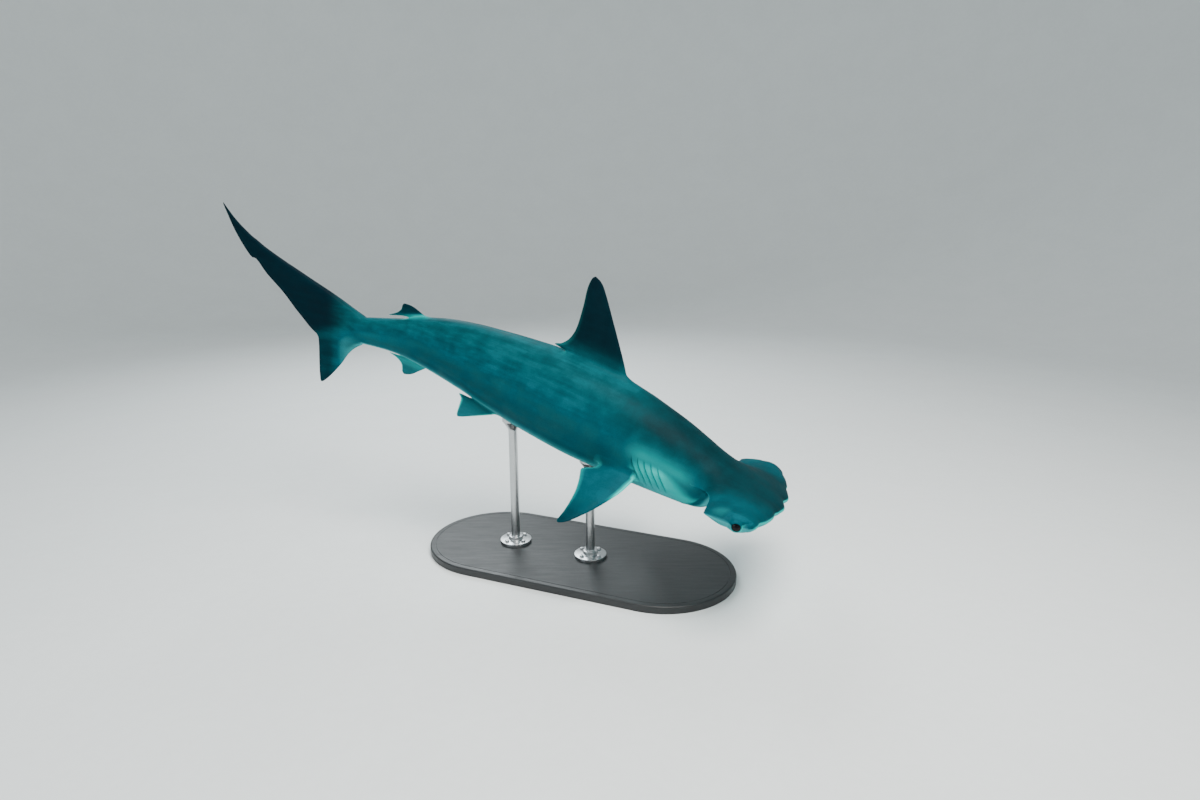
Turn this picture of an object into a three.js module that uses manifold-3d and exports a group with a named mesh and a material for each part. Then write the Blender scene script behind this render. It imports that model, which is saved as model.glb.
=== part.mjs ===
// A scalloped hammerhead shark at life size, held over a flat base by two rods.
// Millimetres, +Z up, with the origin at the middle of the base's underside.
//
// Places on the shark are given in percent of its total length: how far behind
// the front of the snout, how far to its left and how far above its spine. They
// are set out on a straight spine, and one function then bends them all.

import * as THREE from 'three';
import { mergeVertices } from 'three/addons/utils/BufferGeometryUtils.js';
import Module from 'manifold-3d';

const totalLength = 2500;
const percent = totalLength / 100;
const clearance = 0.3;

// Where the shark hangs: the spine at the shoulder, over the base.
const shoulder = 26.5;
const shoulderPlace = { x: 157, y: -69, z: 560 };
const heading = -22.5;
const noseDown = 18.2;

// How the spine bends behind and ahead of the shoulder, in degrees at bendReach.
const bendReach = 40;
const stiffHead = 12;
const stiffTail = 80;
const sideBend = [-8.0, 7.4, 8.2];
const tailPitch = 6.0;
const neckPitch = 4.2;
const headTwist = -3.8;
const headTurn = -2.6;

// The body: place, back, belly and half width.
const bodyStations = [
  [13.4, 3.8, -5.85, 4.9],
  [17, 4.9, -6.1, 5.3],
  [21, 5.85, -6.35, 5.65],
  [25, 6.7, -6.5, 5.95],
  [29, 7.35, -6.65, 6.1],
  [33, 7.55, -6.65, 6.1],
  [38, 7.6, -6.35, 5.85],
  [43, 7.3, -5.9, 5.3],
  [48, 6.9, -5.2, 4.55],
  [53, 6.45, -4.25, 3.7],
  [58, 5.7, -3.35, 2.95],
  [62, 4.7, -2.65, 2.4],
  [66, 3.45, -2.15, 1.95],
  [71.5, 2.25, -2.1, 1.55],
];
const widestHeight = 0.46;
const backRoundness = 2.0;
const bellyRoundness = 2.3;
const neckPlace = 13.4;
const tailPlace = 71.5;

// The hammer, seen from above: its half span at each line of its loft.
const hammerSpan = [
  [0, 12.4], [0.3, 13.5], [0.8, 13.9], [1.8, 14.1], [3.5, 14.1], [5.5, 13.9],
  [7.3, 13.65], [8.55, 13.3], [8.8, 12.4], [9.0, 11.1], [9.3, 9.4], [9.8, 7.8],
  [10.7, 6.35], [11.8, 5.4], [13.4, 4.9],
];
const hammerCorner = 8.55;
const widestSpan = 14.1;
const frontArch = { middle: 0.75, sweep: 2.75, power: 1.9 };
// Scallops of the front edge: place across, depth and reach of each.
const scallops = [
  { across: 0, depth: 0.4, reach: 0.9 },
  { across: 2.4, depth: -0.2, reach: 1.1 },
  { across: 5.6, depth: 0.25, reach: 0.8 },
  { across: 10.7, depth: 0.3, reach: 0.9 },
];
const scallopFade = 1.2;
const wingHalfThickness = 1.12;
const eyeLobe = 0.2;
const wingDroop = { front: 0.25, rear: 0.95 };
// The middle of the head from the side: crown, underside of the snout, jaw.
const crownLine = [[0, 0.05], [1, 0.5], [3, 1.05], [6, 1.6], [9, 2.35], [11.5, 3.2], [13.4, 3.8]];
const crownWidth = [[0, 8.5], [5, 8.2], [8, 7.4], [9.3, 6.8], [10.6, 6.1], [11.8, 5.35], [13.4, 4.9]];
const crownPeak = [[0, 1.5], [9, 1.0], [13.4, 1 / backRoundness]];
const snoutBelow = [[0, 0], [2, 0.5], [5, 0.7], [8, 0.6], [11, 0.2], [13.4, 0]];
const snoutBelowWidth = 9.5;
const jawLine = [[7.6, 0], [8.2, 1.4], [9, 3.35], [10, 4.85], [11.5, 5.65], [13.4, 5.85]];
const jawPeak = [[7.6, 1.2], [10, 1.1], [11.6, 0.95], [12.6, 0.7], [13.4, 1 / bellyRoundness]];
const throatStart = 10;
const throatEnd = 12.6;
const mouthFront = 7.7;
const mouthDepth = 2.9;
const mouthHalfWidth = 3.46;

const eye = { place: 5.15, across: 13.4, radius: 0.8 };
const lids = { long: 1.3, high: 1.12, out: 1.16, openingLong: 0.78, openingHigh: 0.62 };

// Gill slits: places along the body, and the patch of flank that they open in.
const gillPlaces = [17.0, 18.0, 19.0, 19.95, 20.9];
const gillHeight = -2.75;
const gillHalfHeight = 1.75;
const gillLean = 0.8;
const gillRise = 0.16;
const gillSink = 0.3;

// The upper lobe of the tail fin: place, front edge, rear edge and half thickness.
const upperLobe = [
  [71.5, 2.25, -2.1, 1.55], [74, 3.45, -1.9, 1.15], [77, 5.05, -2.0, 0.85],
  [79.3, 6.25, -2.2, 0.7], [82.6, 8.0, 1.15, 0.55], [84.9, 9.2, 3.95, 0.47],
  [87.6, 10.75, 6.7, 0.38], [89.2, 11.85, 8.75, 0.32], [90, 12.4, 9.0, 0.29],
  [92.3, 14.5, 12.5, 0.2], [94.1, 16.7, 16.45, 0.08],
];

// Fins. Each stands on the skin at a place and a turn, with a chord line that
// runs back along the body and a span line away from it. Its ribs give the
// height of the rib, its front end, its rear end and its half thickness.
const onBack = 0.25;
const onBelly = 0.75;
const fins = {
  firstDorsal: {
    place: 26, turn: onBack, back: [1, 0, 0], out: [0, 0, 1],
    ribs: [
      [-1.3, 0, 10.4, 1.0], [0.3, 1.0, 10.6, 0.85], [0.7, 1.6, 11.0, 0.7], [1.1, 2.0, 13.5, 0.6],
      [1.6, 2.3, 12.6, 0.56], [2.6, 2.9, 11.65, 0.52], [4.4, 4.05, 11.0, 0.47],
      [7.8, 6.25, 10.85, 0.36], [10.6, 8.05, 10.95, 0.22], [12.0, 9.1, 10.75, 0.14],
      [12.6, 10.0, 10.5, 0.07],
    ],
  },
  secondDorsal: {
    place: 61.2, turn: onBack, back: [1, 0, -0.29], out: [0.29, 0, 1],
    ribs: [
      [-1, -0.7, 3.0, 0.6], [0, -0.05, 3.2, 0.4], [0.35, 0.45, 4.4, 0.3], [0.55, 0.7, 6.6, 0.25],
      [0.85, 1.05, 5.2, 0.22], [1.3, 1.6, 4.35, 0.19], [1.8, 2.3, 4.05, 0.14], [2.25, 3.2, 3.95, 0.08],
    ],
  },
  anal: {
    place: 59.7, turn: onBelly, back: [1, 0, 0.15], out: [0.15, 0, -1],
    ribs: [
      [-1, -0.8, 4.7, 0.6], [0, -0.05, 4.9, 0.4], [0.3, 0.4, 5.6, 0.3], [0.5, 0.6, 7.2, 0.25],
      [0.8, 0.9, 5.9, 0.22], [1.4, 1.5, 4.8, 0.19], [2.2, 2.3, 4.4, 0.14], [2.9, 3.3, 4.25, 0.08],
    ],
  },
  lowerLobe: {
    place: 71.1, turn: onBelly, back: [1, 0, 0], out: [0, 0, -1],
    ribs: [
      [-2.4, 0.6, 8.6, 0.95], [0, -0.1, 8.4, 0.8], [0.5, 0.9, 8.15, 0.62], [1.2, 1.9, 8.05, 0.5],
      [2.5, 3.0, 7.95, 0.4], [4.1, 3.9, 7.9, 0.32], [6.0, 5.25, 7.8, 0.22], [7.5, 6.5, 7.65, 0.13],
      [8.1, 7.2, 7.55, 0.07],
    ],
  },
  pectoral: {
    place: 21.2, turn: 0.583, back: [1, 0.02, -0.05], out: [0, 0.857, -0.515],
    ribs: [
      [-1.6, -1.0, 5.0, 1.1], [0, -0.6, 5.0, 0.8], [0.9, -0.5, 5.2, 0.58], [1.5, -0.4, 6.2, 0.52],
      [1.9, -0.3, 6.75, 0.49], [2.7, -0.1, 6.55, 0.45], [3.9, 0.3, 6.1, 0.41], [5.7, 1.1, 5.65, 0.35],
      [7.6, 2.1, 5.45, 0.27], [9.3, 3.2, 5.4, 0.2], [10.5, 4.1, 5.5, 0.13], [11.2, 4.9, 5.55, 0.07],
    ],
  },
  pelvic: {
    place: 45, turn: 0.674, back: [1, -0.09, 0.14], out: [0, 0.643, -0.766],
    ribs: [
      [-1.1, -0.5, 4.9, 0.7], [0, -0.05, 5.0, 0.45], [0.35, 0.45, 7.3, 0.3], [0.9, 1.25, 6.7, 0.26],
      [1.9, 2.75, 6.4, 0.2], [2.9, 4.3, 6.15, 0.14], [3.6, 5.4, 5.95, 0.07],
    ],
  },
};
const thinnestHalf = 0.4;

// The stand.
const base = { length: 1240, width: 560, thickness: 28, chamfer: 5 };
const rod = { radius: 17, flange: 62, flangeHeight: 12, collar: 27, cup: 40, cupHeight: 46 };
const rodPlaces = { front: 29.2, rear: 43.4 };
const boltCircle = 46;
const boltRadius = 8;
const boltHeight = 8;

const wasm = await Module();
wasm.setup();

const radians = THREE.MathUtils.degToRad;
const clamp = THREE.MathUtils.clamp;
const mix = THREE.MathUtils.lerp;
const smooth = (from, to, value) => THREE.MathUtils.smoothstep(value, from, to);

// A smooth curve through the rows of a table: first column in, chosen column out.
function along(table, place, column = 1) {
  const last = table.length - 1;
  const at = clamp(place, table[0][0], table[last][0]);
  let i = 0;
  while (i < last - 1 && at > table[i + 1][0]) i += 1;
  const slope = (a, b) => (table[b][column] - table[a][column]) / (table[b][0] - table[a][0]);
  const before = i > 0 ? slope(i - 1, i + 1) : slope(i, i + 1);
  const after = i < last - 1 ? slope(i, i + 2) : slope(i, i + 1);
  const step = table[i + 1][0] - table[i][0];
  const u = (at - table[i][0]) / step;
  const bump = u * (1 - u);
  return mix(table[i][column], table[i + 1][column], u * u * (3 - 2 * u))
    + step * bump * ((1 - u) * before - u * after);
}

// The bend

function turnAt(place) {
  const u = (clamp(place, stiffHead, stiffTail) - shoulder) / bendReach;
  const ahead = clamp((shoulder - place) / (shoulder - stiffHead), 0, 1);
  return {
    yaw: radians(u * (sideBend[0] + u * (sideBend[1] + u * sideBend[2])) + headTurn * ahead),
    pitch: radians(tailPitch * u + neckPitch * Math.max(0, -u)),
    twist: radians(headTwist * ahead),
  };
}

function forwardAt(place) {
  const { yaw, pitch } = turnAt(place);
  return new THREE.Vector3(
    Math.cos(yaw) * Math.cos(pitch), Math.sin(yaw) * Math.cos(pitch), Math.sin(pitch));
}

const spineStep = 0.25;
const spineStart = -5;
const spineCount = 440;
const spine = [new THREE.Vector3()];
for (let i = 1; i <= spineCount; i += 1) {
  const middle = spineStart + (i - 0.5) * spineStep;
  spine.push(spine[i - 1].clone().addScaledVector(forwardAt(middle), -spineStep));
}

function spineAt(place) {
  const f = (place - spineStart) / spineStep;
  const i = clamp(Math.floor(f), 0, spineCount - 1);
  return spine[i].clone().lerp(spine[i + 1], f - i);
}

const spineShoulder = spineAt(shoulder);

// A place on the straight shark, as a point of the bent one in its own frame.
function bend(place, left, up) {
  const { yaw, twist } = turnAt(place);
  const forward = forwardAt(place);
  const level = new THREE.Vector3(-Math.sin(yaw), Math.cos(yaw), 0);
  const upright = forward.clone().cross(level);
  const side = level.clone().multiplyScalar(Math.cos(twist)).addScaledVector(upright, Math.sin(twist));
  const top = upright.clone().multiplyScalar(Math.cos(twist)).addScaledVector(level, -Math.sin(twist));
  return spineAt(place).sub(spineShoulder)
    .addScaledVector(side, left)
    .addScaledVector(top, up)
    .multiplyScalar(percent);
}

// The skin of the body

function gillDepth(place, height) {
  const patch = 1 - smooth(gillHalfHeight * 0.72, gillHalfHeight * 1.15, Math.abs(height));
  let depth = 0;
  for (const slit of gillPlaces) {
    const behind = place - slit;
    const flap = smooth(-1.1, -0.12, behind) * (1 - smooth(-0.12, 0, behind));
    const gap = smooth(-0.1, 0, behind) * (1 - smooth(0.14, 0.3, behind));
    depth += gillRise * flap - gillSink * gap;
  }
  return depth * patch;
}

// turn goes from 0 to 1: right side, back, left side, belly.
function roundPoint(place, turn) {
  const back = along(bodyStations, place, 1);
  const belly = along(bodyStations, place, 2);
  const width = along(bodyStations, place, 3);
  const middle = mix(belly, back, widestHeight);
  const c = Math.cos(2 * Math.PI * turn);
  const d = Math.sin(2 * Math.PI * turn);
  const power = 2 / (d > 0 ? backRoundness : bellyRoundness);
  const reach = d > 0 ? back - middle : middle - belly;
  const up = middle + reach * Math.sign(d) * Math.abs(d) ** power;
  return [place, -width * Math.sign(c) * Math.abs(c) ** power, up];
}

function bodyPoint(place, turn) {
  const [, out, up] = roundPoint(place, turn);
  const height = up - gillHeight;
  const lean = gillLean * clamp(height, -gillHalfHeight, gillHalfHeight)
    * smooth(neckPlace, gillPlaces[0] - 0.7, place) * (1 - smooth(21.3, 24.5, place));
  const relief = gillDepth(place, height) * Math.sign(out);
  return [place + lean, out + relief, up];
}

// The skin of the head

function fadeToNeck(t) {
  return Math.max(0, 1 - t / neckPlace) ** 1.3;
}

function frontEdge(t, across) {
  const a = Math.abs(across);
  const arch = frontArch.middle + frontArch.sweep * (a / widestSpan) ** frontArch.power;
  let notch = 0;
  for (const s of scallops) notch += s.depth * Math.exp(-(((a - s.across) / s.reach) ** 2));
  return arch * fadeToNeck(t) + notch * Math.exp(-t / scallopFade) * fadeToNeck(t);
}

function droopAt(t) {
  return mix(wingDroop.front, wingDroop.rear, clamp(t / hammerCorner, 0, 1));
}

function hammerRear(across) {
  let low = hammerCorner;
  let high = neckPlace;
  for (let i = 0; i < 30; i += 1) {
    const middle = (low + high) / 2;
    if (along(hammerSpan, middle) > Math.abs(across)) low = middle;
    else high = middle;
  }
  return high;
}

function together(...heights) {
  const sharpness = 2.5;
  let sum = 0;
  for (const h of heights) sum += Math.max(0, h) ** sharpness;
  return sum ** (1 / sharpness);
}

// Heights of the head over and under its middle surface, at line t of the loft.
function headHeights(t, across) {
  const a = Math.abs(across);
  const span = along(hammerSpan, t);
  const neck = bodyStations[0];
  const neckMiddle = mix(neck[2], neck[1], widestHeight);
  const sink = neckMiddle * smooth(8, neckPlace, t);
  const droop = -droopAt(t) * (a / widestSpan) ** 2 * (1 - smooth(9, neckPlace, t));
  const chord = clamp(t / hammerRear(a), 0, 1);
  const rounding = Math.sqrt(Math.max(0, 1 - (a / span) ** 12));
  const lobe = eyeLobe * smooth(11.3, 13.1, a);
  const wing = (wingHalfThickness + lobe) * 2.38 * Math.sqrt(chord) * (1 - chord) ** 0.8
    * rounding * (1 - smooth(10.5, neckPlace, t));
  const shape = (width, roundness, peak) => Math.max(0, 1 - (a / width) ** roundness) ** peak;
  const crown = (along(crownLine, t) - sink) * shape(along(crownWidth, t), backRoundness, along(crownPeak, t));
  const below = along(snoutBelow, t) * shape(snoutBelowWidth, 2, 1.2);
  const mouthWidth = mouthHalfWidth * Math.sqrt(Math.max(0.001, t - mouthFront + 0.1) / mouthDepth);
  const jawWidth = mix(mouthWidth, span, smooth(throatStart, throatEnd, t));
  const jawReach = t > jawLine[0][0] ? along(jawLine, t) + sink : 0;
  const jaw = jawReach * shape(jawWidth, bellyRoundness, along(jawPeak, t));
  return {
    middle: sink + droop,
    over: together(wing, crown * Math.min(1, rounding * 2)),
    under: together(wing, below * rounding, jaw),
  };
}

function headPoint(t, share, upper) {
  const across = share * along(hammerSpan, t);
  const { middle, over, under } = headHeights(t, across);
  const up = t <= 0 ? middle : middle + (upper ? over : -under);
  return [t + frontEdge(t, across), across, up];
}

// The place on the underside of the head under a point seen from above.
function headUnderside(place, across) {
  let low = 0;
  let high = neckPlace;
  for (let i = 0; i < 30; i += 1) {
    const t = (low + high) / 2;
    if (t + frontEdge(t, across) < place) low = t;
    else high = t;
  }
  const { middle, under } = headHeights(high, across);
  return [place, across, middle - under];
}

// Solids

const toVector = (point) => bend(point[0], point[1], point[2]);

// A closed skin over rings of equal count, with a flat cap on each end.
function loft(rings, bent = true) {
  const count = rings[0].length;
  const positions = [];
  for (const ring of rings) {
    for (const point of ring) {
      const v = bent ? toVector(point) : new THREE.Vector3(...point);
      positions.push(v.x, v.y, v.z);
    }
  }
  const index = [];
  for (let r = 0; r + 1 < rings.length; r += 1) {
    for (let k = 0; k < count; k += 1) {
      const a = r * count + k;
      const b = r * count + (k + 1) % count;
      const c = a + count;
      const d = b + count;
      if (k < count / 2) index.push(a, b, c, b, d, c);
      else index.push(a, b, d, a, d, c);
    }
  }
  for (const start of [0, (rings.length - 1) * count]) {
    const centre = new THREE.Vector3();
    for (let k = 0; k < count; k += 1) {
      centre.x += positions[3 * (start + k)] / count;
      centre.y += positions[3 * (start + k) + 1] / count;
      centre.z += positions[3 * (start + k) + 2] / count;
    }
    const hub = positions.length / 3;
    positions.push(centre.x, centre.y, centre.z);
    for (let k = 0; k < count; k += 1) {
      const a = start + k;
      const b = start + (k + 1) % count;
      if (start === 0) index.push(b, a, hub);
      else index.push(a, b, hub);
    }
  }
  return closed(positions, index);
}

// Shared corners merged, slivers dropped and the faces turned outwards.
function closed(positions, index) {
  let geometry = new THREE.BufferGeometry();
  geometry.setAttribute('position', new THREE.Float32BufferAttribute(positions, 3));
  geometry.setIndex(index);
  geometry = mergeVertices(geometry, 1e-3);
  const kept = [];
  const corners = geometry.index.array;
  for (let i = 0; i < corners.length; i += 3) {
    const [a, b, c] = corners.slice(i, i + 3);
    if (a !== b && b !== c && c !== a) kept.push(a, b, c);
  }
  geometry.setIndex(kept);
  if (volumeOf(geometry) < 0) {
    for (let i = 0; i < kept.length; i += 3) [kept[i], kept[i + 1]] = [kept[i + 1], kept[i]];
    geometry.setIndex(kept);
  }
  return geometry;
}

function volumeOf(geometry) {
  const p = geometry.attributes.position;
  const corners = geometry.index.array;
  const a = new THREE.Vector3();
  const b = new THREE.Vector3();
  const c = new THREE.Vector3();
  let sum = 0;
  for (let i = 0; i < corners.length; i += 3) {
    a.fromBufferAttribute(p, corners[i]);
    b.fromBufferAttribute(p, corners[i + 1]);
    c.fromBufferAttribute(p, corners[i + 2]);
    sum += a.dot(b.cross(c)) / 6;
  }
  return sum;
}

// The same skin moved outwards.
function grown(geometry, distance) {
  const wider = geometry.clone();
  wider.computeVertexNormals();
  const p = wider.attributes.position;
  const n = wider.attributes.normal;
  for (let i = 0; i < p.count; i += 1) {
    p.setXYZ(i, p.getX(i) + n.getX(i) * distance, p.getY(i) + n.getY(i) * distance, p.getZ(i) + n.getZ(i) * distance);
  }
  wider.deleteAttribute('normal');
  return wider;
}

function toSolid(geometry) {
  const bare = new THREE.BufferGeometry();
  bare.setAttribute('position', geometry.attributes.position.clone());
  if (geometry.index) bare.setIndex(geometry.index.clone());
  const merged = mergeVertices(bare, 1e-3);
  return new wasm.Manifold(new wasm.Mesh({
    numProp: 3,
    vertProperties: new Float32Array(merged.attributes.position.array),
    triVerts: new Uint32Array(merged.index.array),
  }));
}

// The largest closed piece of a solid, as a geometry.
function toGeometry(solid) {
  const pieces = solid.decompose().sort((a, b) => b.volume() - a.volume());
  const mesh = pieces[0].getMesh();
  return closed(Array.from(mesh.vertProperties), Array.from(mesh.triVerts));
}

const roundCount = 36;

function bodyRings(places) {
  return places.map((place) => Array.from(
    { length: roundCount }, (_, k) => bodyPoint(place, k / roundCount)));
}

// Body places between two cuts, each end held back by half the clearance.
function between(from, to, places) {
  const gap = clearance / 2 / percent;
  return [from + gap, ...places.filter((p) => p > from + 0.2 && p < to - 0.2), to - gap];
}

const cuts = { neck: neckPlace, shoulder: 27.3, waist: 41.5, stem: 58.5, tail: tailPlace };

const gillRings = gillPlaces.flatMap((slit) => [slit - 0.6, slit - 0.11, slit + 0.02, slit + 0.28]);
const bodyPlaces = [
  14.5, 15.5, ...gillRings, 23.2, 24.6, 26, 29.5, 32, 34.5, 37, 39.3,
  44, 46.5, 49, 51.5, 54, 56.3, 60.3, 62.2, 64, 66, 68, 69.8,
];

// Head

const headLines = [
  0, 0.1, 0.35, 0.8, 1.5, 2.6, 4, 5.5, 6.9, 7.8, 8.3, 8.55, 8.8, 9.05, 9.4, 9.9, 10.6, 11.4, 12.4,
];
const halfRing = 30;

// Shares of the half span across the head, closer in the middle and at the ends.
function shareAt(k) {
  const u = 2 * k / halfRing - 1;
  const spread = u - 0.3 * Math.sin(2 * Math.PI * u) / (2 * Math.PI);
  return Math.sin(spread * Math.PI / 2);
}

function headRing(t) {
  const ring = [];
  for (let k = 0; k < halfRing; k += 1) ring.push(headPoint(t, shareAt(k), true));
  for (let k = halfRing; k > 0; k -= 1) ring.push(headPoint(t, shareAt(k), false));
  return ring;
}

// A closed strip along a path under the head, from a list of section corners.
function strip(path, section) {
  const rings = path.map((point, i) => {
    const here = toVector(point);
    const before = toVector(path[Math.max(0, i - 1)]);
    const after = toVector(path[Math.min(path.length - 1, i + 1)]);
    const run = after.sub(before).normalize();
    const down = toVector([point[0], point[1], point[2] - 1]).sub(here).normalize();
    const side = run.clone().cross(down).normalize();
    return section(i).map(([s, d]) => here.clone().addScaledVector(side, s).addScaledVector(down, d).toArray());
  });
  return toSolid(loft(rings, false));
}

const mouthSteps = 14;

function mouthPath() {
  return Array.from({ length: mouthSteps + 1 }, (_, i) => {
    const across = (2 * i / mouthSteps - 1) * mouthHalfWidth * 0.97;
    const place = mouthFront + 0.25 + mouthDepth * (across / mouthHalfWidth) ** 2;
    return headUnderside(place, across);
  });
}

function oval(width, height, count = 8) {
  return Array.from({ length: count }, (_, k) => {
    const angle = 2 * Math.PI * k / count;
    return [width * Math.cos(angle), height * Math.sin(angle)];
  });
}

function eyeCentre(side) {
  return [eye.place, side * eye.across, -droopAt(eye.place - 2.2) * (eye.across / widestSpan) ** 2];
}

function ball(centre, radius) {
  const sphere = new THREE.SphereGeometry(radius, 14, 8);
  const at = toVector(centre);
  return sphere.translate(at.x, at.y, at.z);
}

// The lids: a mound of skin round the eye, with an oval opening.
function lidSolids(side) {
  const radius = eye.radius * percent;
  const mound = new THREE.SphereGeometry(radius, 16, 10).rotateX(Math.PI / 2);
  mound.scale(lids.long, lids.high, lids.out);
  const opening = new THREE.CylinderGeometry(1, 1, radius * 2, 16).rotateX(Math.PI / 2);
  opening.scale(radius * lids.openingLong, radius * lids.openingHigh, 1);
  opening.translate(0, 0, radius * 1.2);
  const centre = toVector(eyeCentre(side));
  const outwards = toVector([eye.place - 0.15, side * (eye.across + 1), eyeCentre(side)[2]]).sub(centre).normalize();
  const forwards = toVector([eye.place - 1, side * eye.across, eyeCentre(side)[2]]).sub(centre).normalize();
  const upwards = outwards.clone().cross(forwards).normalize();
  const turned = new THREE.Matrix4().makeBasis(upwards.clone().cross(outwards), upwards, outwards).setPosition(centre);
  return { mound: toSolid(mound.applyMatrix4(turned)), opening: toSolid(opening.applyMatrix4(turned)) };
}

// A nostril: a slit under the front edge, with a groove running towards the middle.
function nostril(side) {
  const path = [];
  for (let i = 0; i <= 8; i += 1) {
    const across = side * mix(11.5, 8.7, i / 8);
    const place = frontEdge(0, across) + mix(1.0, 0.5, i / 8);
    path.push(headUnderside(place, across));
  }
  return strip(path, (i) => {
    const half = mix(4.6, 1.6, i / 8);
    const depth = mix(12, 3.5, i / 8);
    return [[-half, 9], [half, 9], [half * 0.6, -depth], [-half * 0.6, -depth]];
  });
}

function headGeometry() {
  const rings = headLines.map(headRing);
  rings.push(headRing(neckPlace - clearance / 2 / percent));
  let solid = toSolid(loft(rings));
  const path = mouthPath();
  const taper = (i) => Math.sin(Math.PI * clamp((i + 1) / (mouthSteps + 2), 0, 1)) ** 0.35;
  solid = solid.add(strip(path, (i) => oval(9 * taper(i), 6.5 * taper(i))));
  solid = solid.subtract(strip(path, (i) => {
    const half = 1.9 * taper(i);
    return [[-half, 14], [half, 14], [half, -9], [-half, -9]];
  }));
  for (const side of [1, -1]) {
    const { mound, opening } = lidSolids(side);
    solid = solid.add(mound).subtract(opening);
    solid = solid.subtract(toSolid(ball(eyeCentre(side), eye.radius * percent + clearance)));
    solid = solid.subtract(nostril(side));
  }
  return toGeometry(solid);
}

// Tail fin

function bladeShape(c) {
  const crest = 0.2;
  const rise = Math.sqrt(c / crest) * Math.exp(0.5 * (1 - c / crest));
  return rise * Math.sqrt(Math.max(0, 1 - c));
}

function lobePoint(place, turn) {
  const front = along(upperLobe, place, 1);
  const rear = along(upperLobe, place, 2);
  const half = along(upperLobe, place, 3);
  const c = (1 - Math.sin(2 * Math.PI * turn)) / 2;
  const side = -Math.cos(2 * Math.PI * turn);
  const blade = Math.max(bladeShape(c) * half, thinnestHalf / percent);
  const stem = half * Math.abs(side);
  const flat = smooth(tailPlace, tailPlace + 5, place);
  const edge = Math.abs(side) < 1e-6 ? 0 : Math.sign(side);
  return [place, edge * mix(stem, blade, flat), mix(front, rear, c)];
}

const lobePlaces = [72.4, 73.4, 74.6, 76, 77.6, 79.3, 80.9, 82.6, 84.9, 87.2, 88.5, 89.2, 89.8, 91, 92.3, 93.4];

function lobeRings() {
  const gap = clearance / 2 / percent;
  return [tailPlace + gap, ...lobePlaces, 94.1].map((place) => Array.from(
    { length: roundCount }, (_, k) => lobePoint(place, k / roundCount)));
}

// Fins

const chordSteps = 7;

function finShape(c) {
  return 2.6 * Math.sqrt(c) * (1 - c) ** 1.1;
}

function finPoint(fin, side, rib, c, face) {
  const [height, front, rear, half] = rib;
  const run = mix(front, rear, c);
  const thick = face === 0 ? 0 : face * Math.max(finShape(c) * half, thinnestHalf / percent);
  const back = new THREE.Vector3(...fin.back).normalize();
  const out = new THREE.Vector3(...fin.out).normalize();
  const normal = back.clone().cross(out).normalize();
  const p = new THREE.Vector3(...roundPoint(fin.place, fin.turn))
    .addScaledVector(back, run).addScaledVector(out, height).addScaledVector(normal, thick);
  return [p.x, p.y * side, p.z];
}

function finRing(fin, side, rib) {
  const shares = Array.from({ length: chordSteps + 1 }, (_, k) => 0.5 - 0.5 * Math.cos(Math.PI * k / chordSteps));
  const ring = [finPoint(fin, side, rib, 0, 0)];
  for (const c of shares.slice(1)) ring.push(finPoint(fin, side, rib, c, 1));
  for (const c of shares.slice(1).reverse()) ring.push(finPoint(fin, side, rib, c, -1));
  ring.push(finPoint(fin, side, rib, 0, 0));
  return ring;
}

function finSolid(fin, side = 1) {
  const rings = [];
  fin.ribs.forEach((rib, i) => {
    rings.push(finRing(fin, side, rib));
    const next = fin.ribs[i + 1];
    if (next && next[0] - rib[0] > 1) {
      const height = (rib[0] + next[0]) / 2;
      rings.push(finRing(fin, side, [height, 1, 2, 3].map((v, k) => (k === 0 ? height : along(fin.ribs, height, v)))));
    }
  });
  return toSolid(loft(rings));
}

// Assembly

const looks = {
  back: new THREE.MeshStandardMaterial({ color: 0x5f6f6d, roughness: 0.55, metalness: 0 }),
  fin: new THREE.MeshStandardMaterial({ color: 0x56645f, roughness: 0.55, metalness: 0 }),
  eye: new THREE.MeshStandardMaterial({ color: 0x0d0f10, roughness: 0.1, metalness: 0 }),
  base: new THREE.MeshStandardMaterial({ color: 0x2b2e30, roughness: 0.5, metalness: 0.2 }),
  rod: new THREE.MeshStandardMaterial({ color: 0x8b8f92, roughness: 0.35, metalness: 1 }),
};

const model = new THREE.Group();
const shark = new THREE.Group();
shark.position.set(shoulderPlace.x, shoulderPlace.y, shoulderPlace.z);
shark.rotation.set(0, radians(noseDown), radians(heading), 'ZYX');
shark.updateMatrixWorld(true);
model.add(shark);

function addTo(group, name, geometry, material) {
  const mesh = new THREE.Mesh(geometry, material);
  mesh.name = name;
  group.add(mesh);
  return mesh;
}

const trunkSkin = loft(bodyRings([
  ...between(cuts.neck, cuts.shoulder, bodyPlaces), ...between(cuts.shoulder, cuts.waist, bodyPlaces),
  ...between(cuts.waist, cuts.stem, bodyPlaces), ...between(cuts.stem, cuts.tail, bodyPlaces)]));
const trunkCutter = toSolid(grown(trunkSkin, clearance));
const lobeSkin = loft(lobeRings());
const tailCutter = trunkCutter.add(toSolid(grown(lobeSkin, clearance)));

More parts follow.
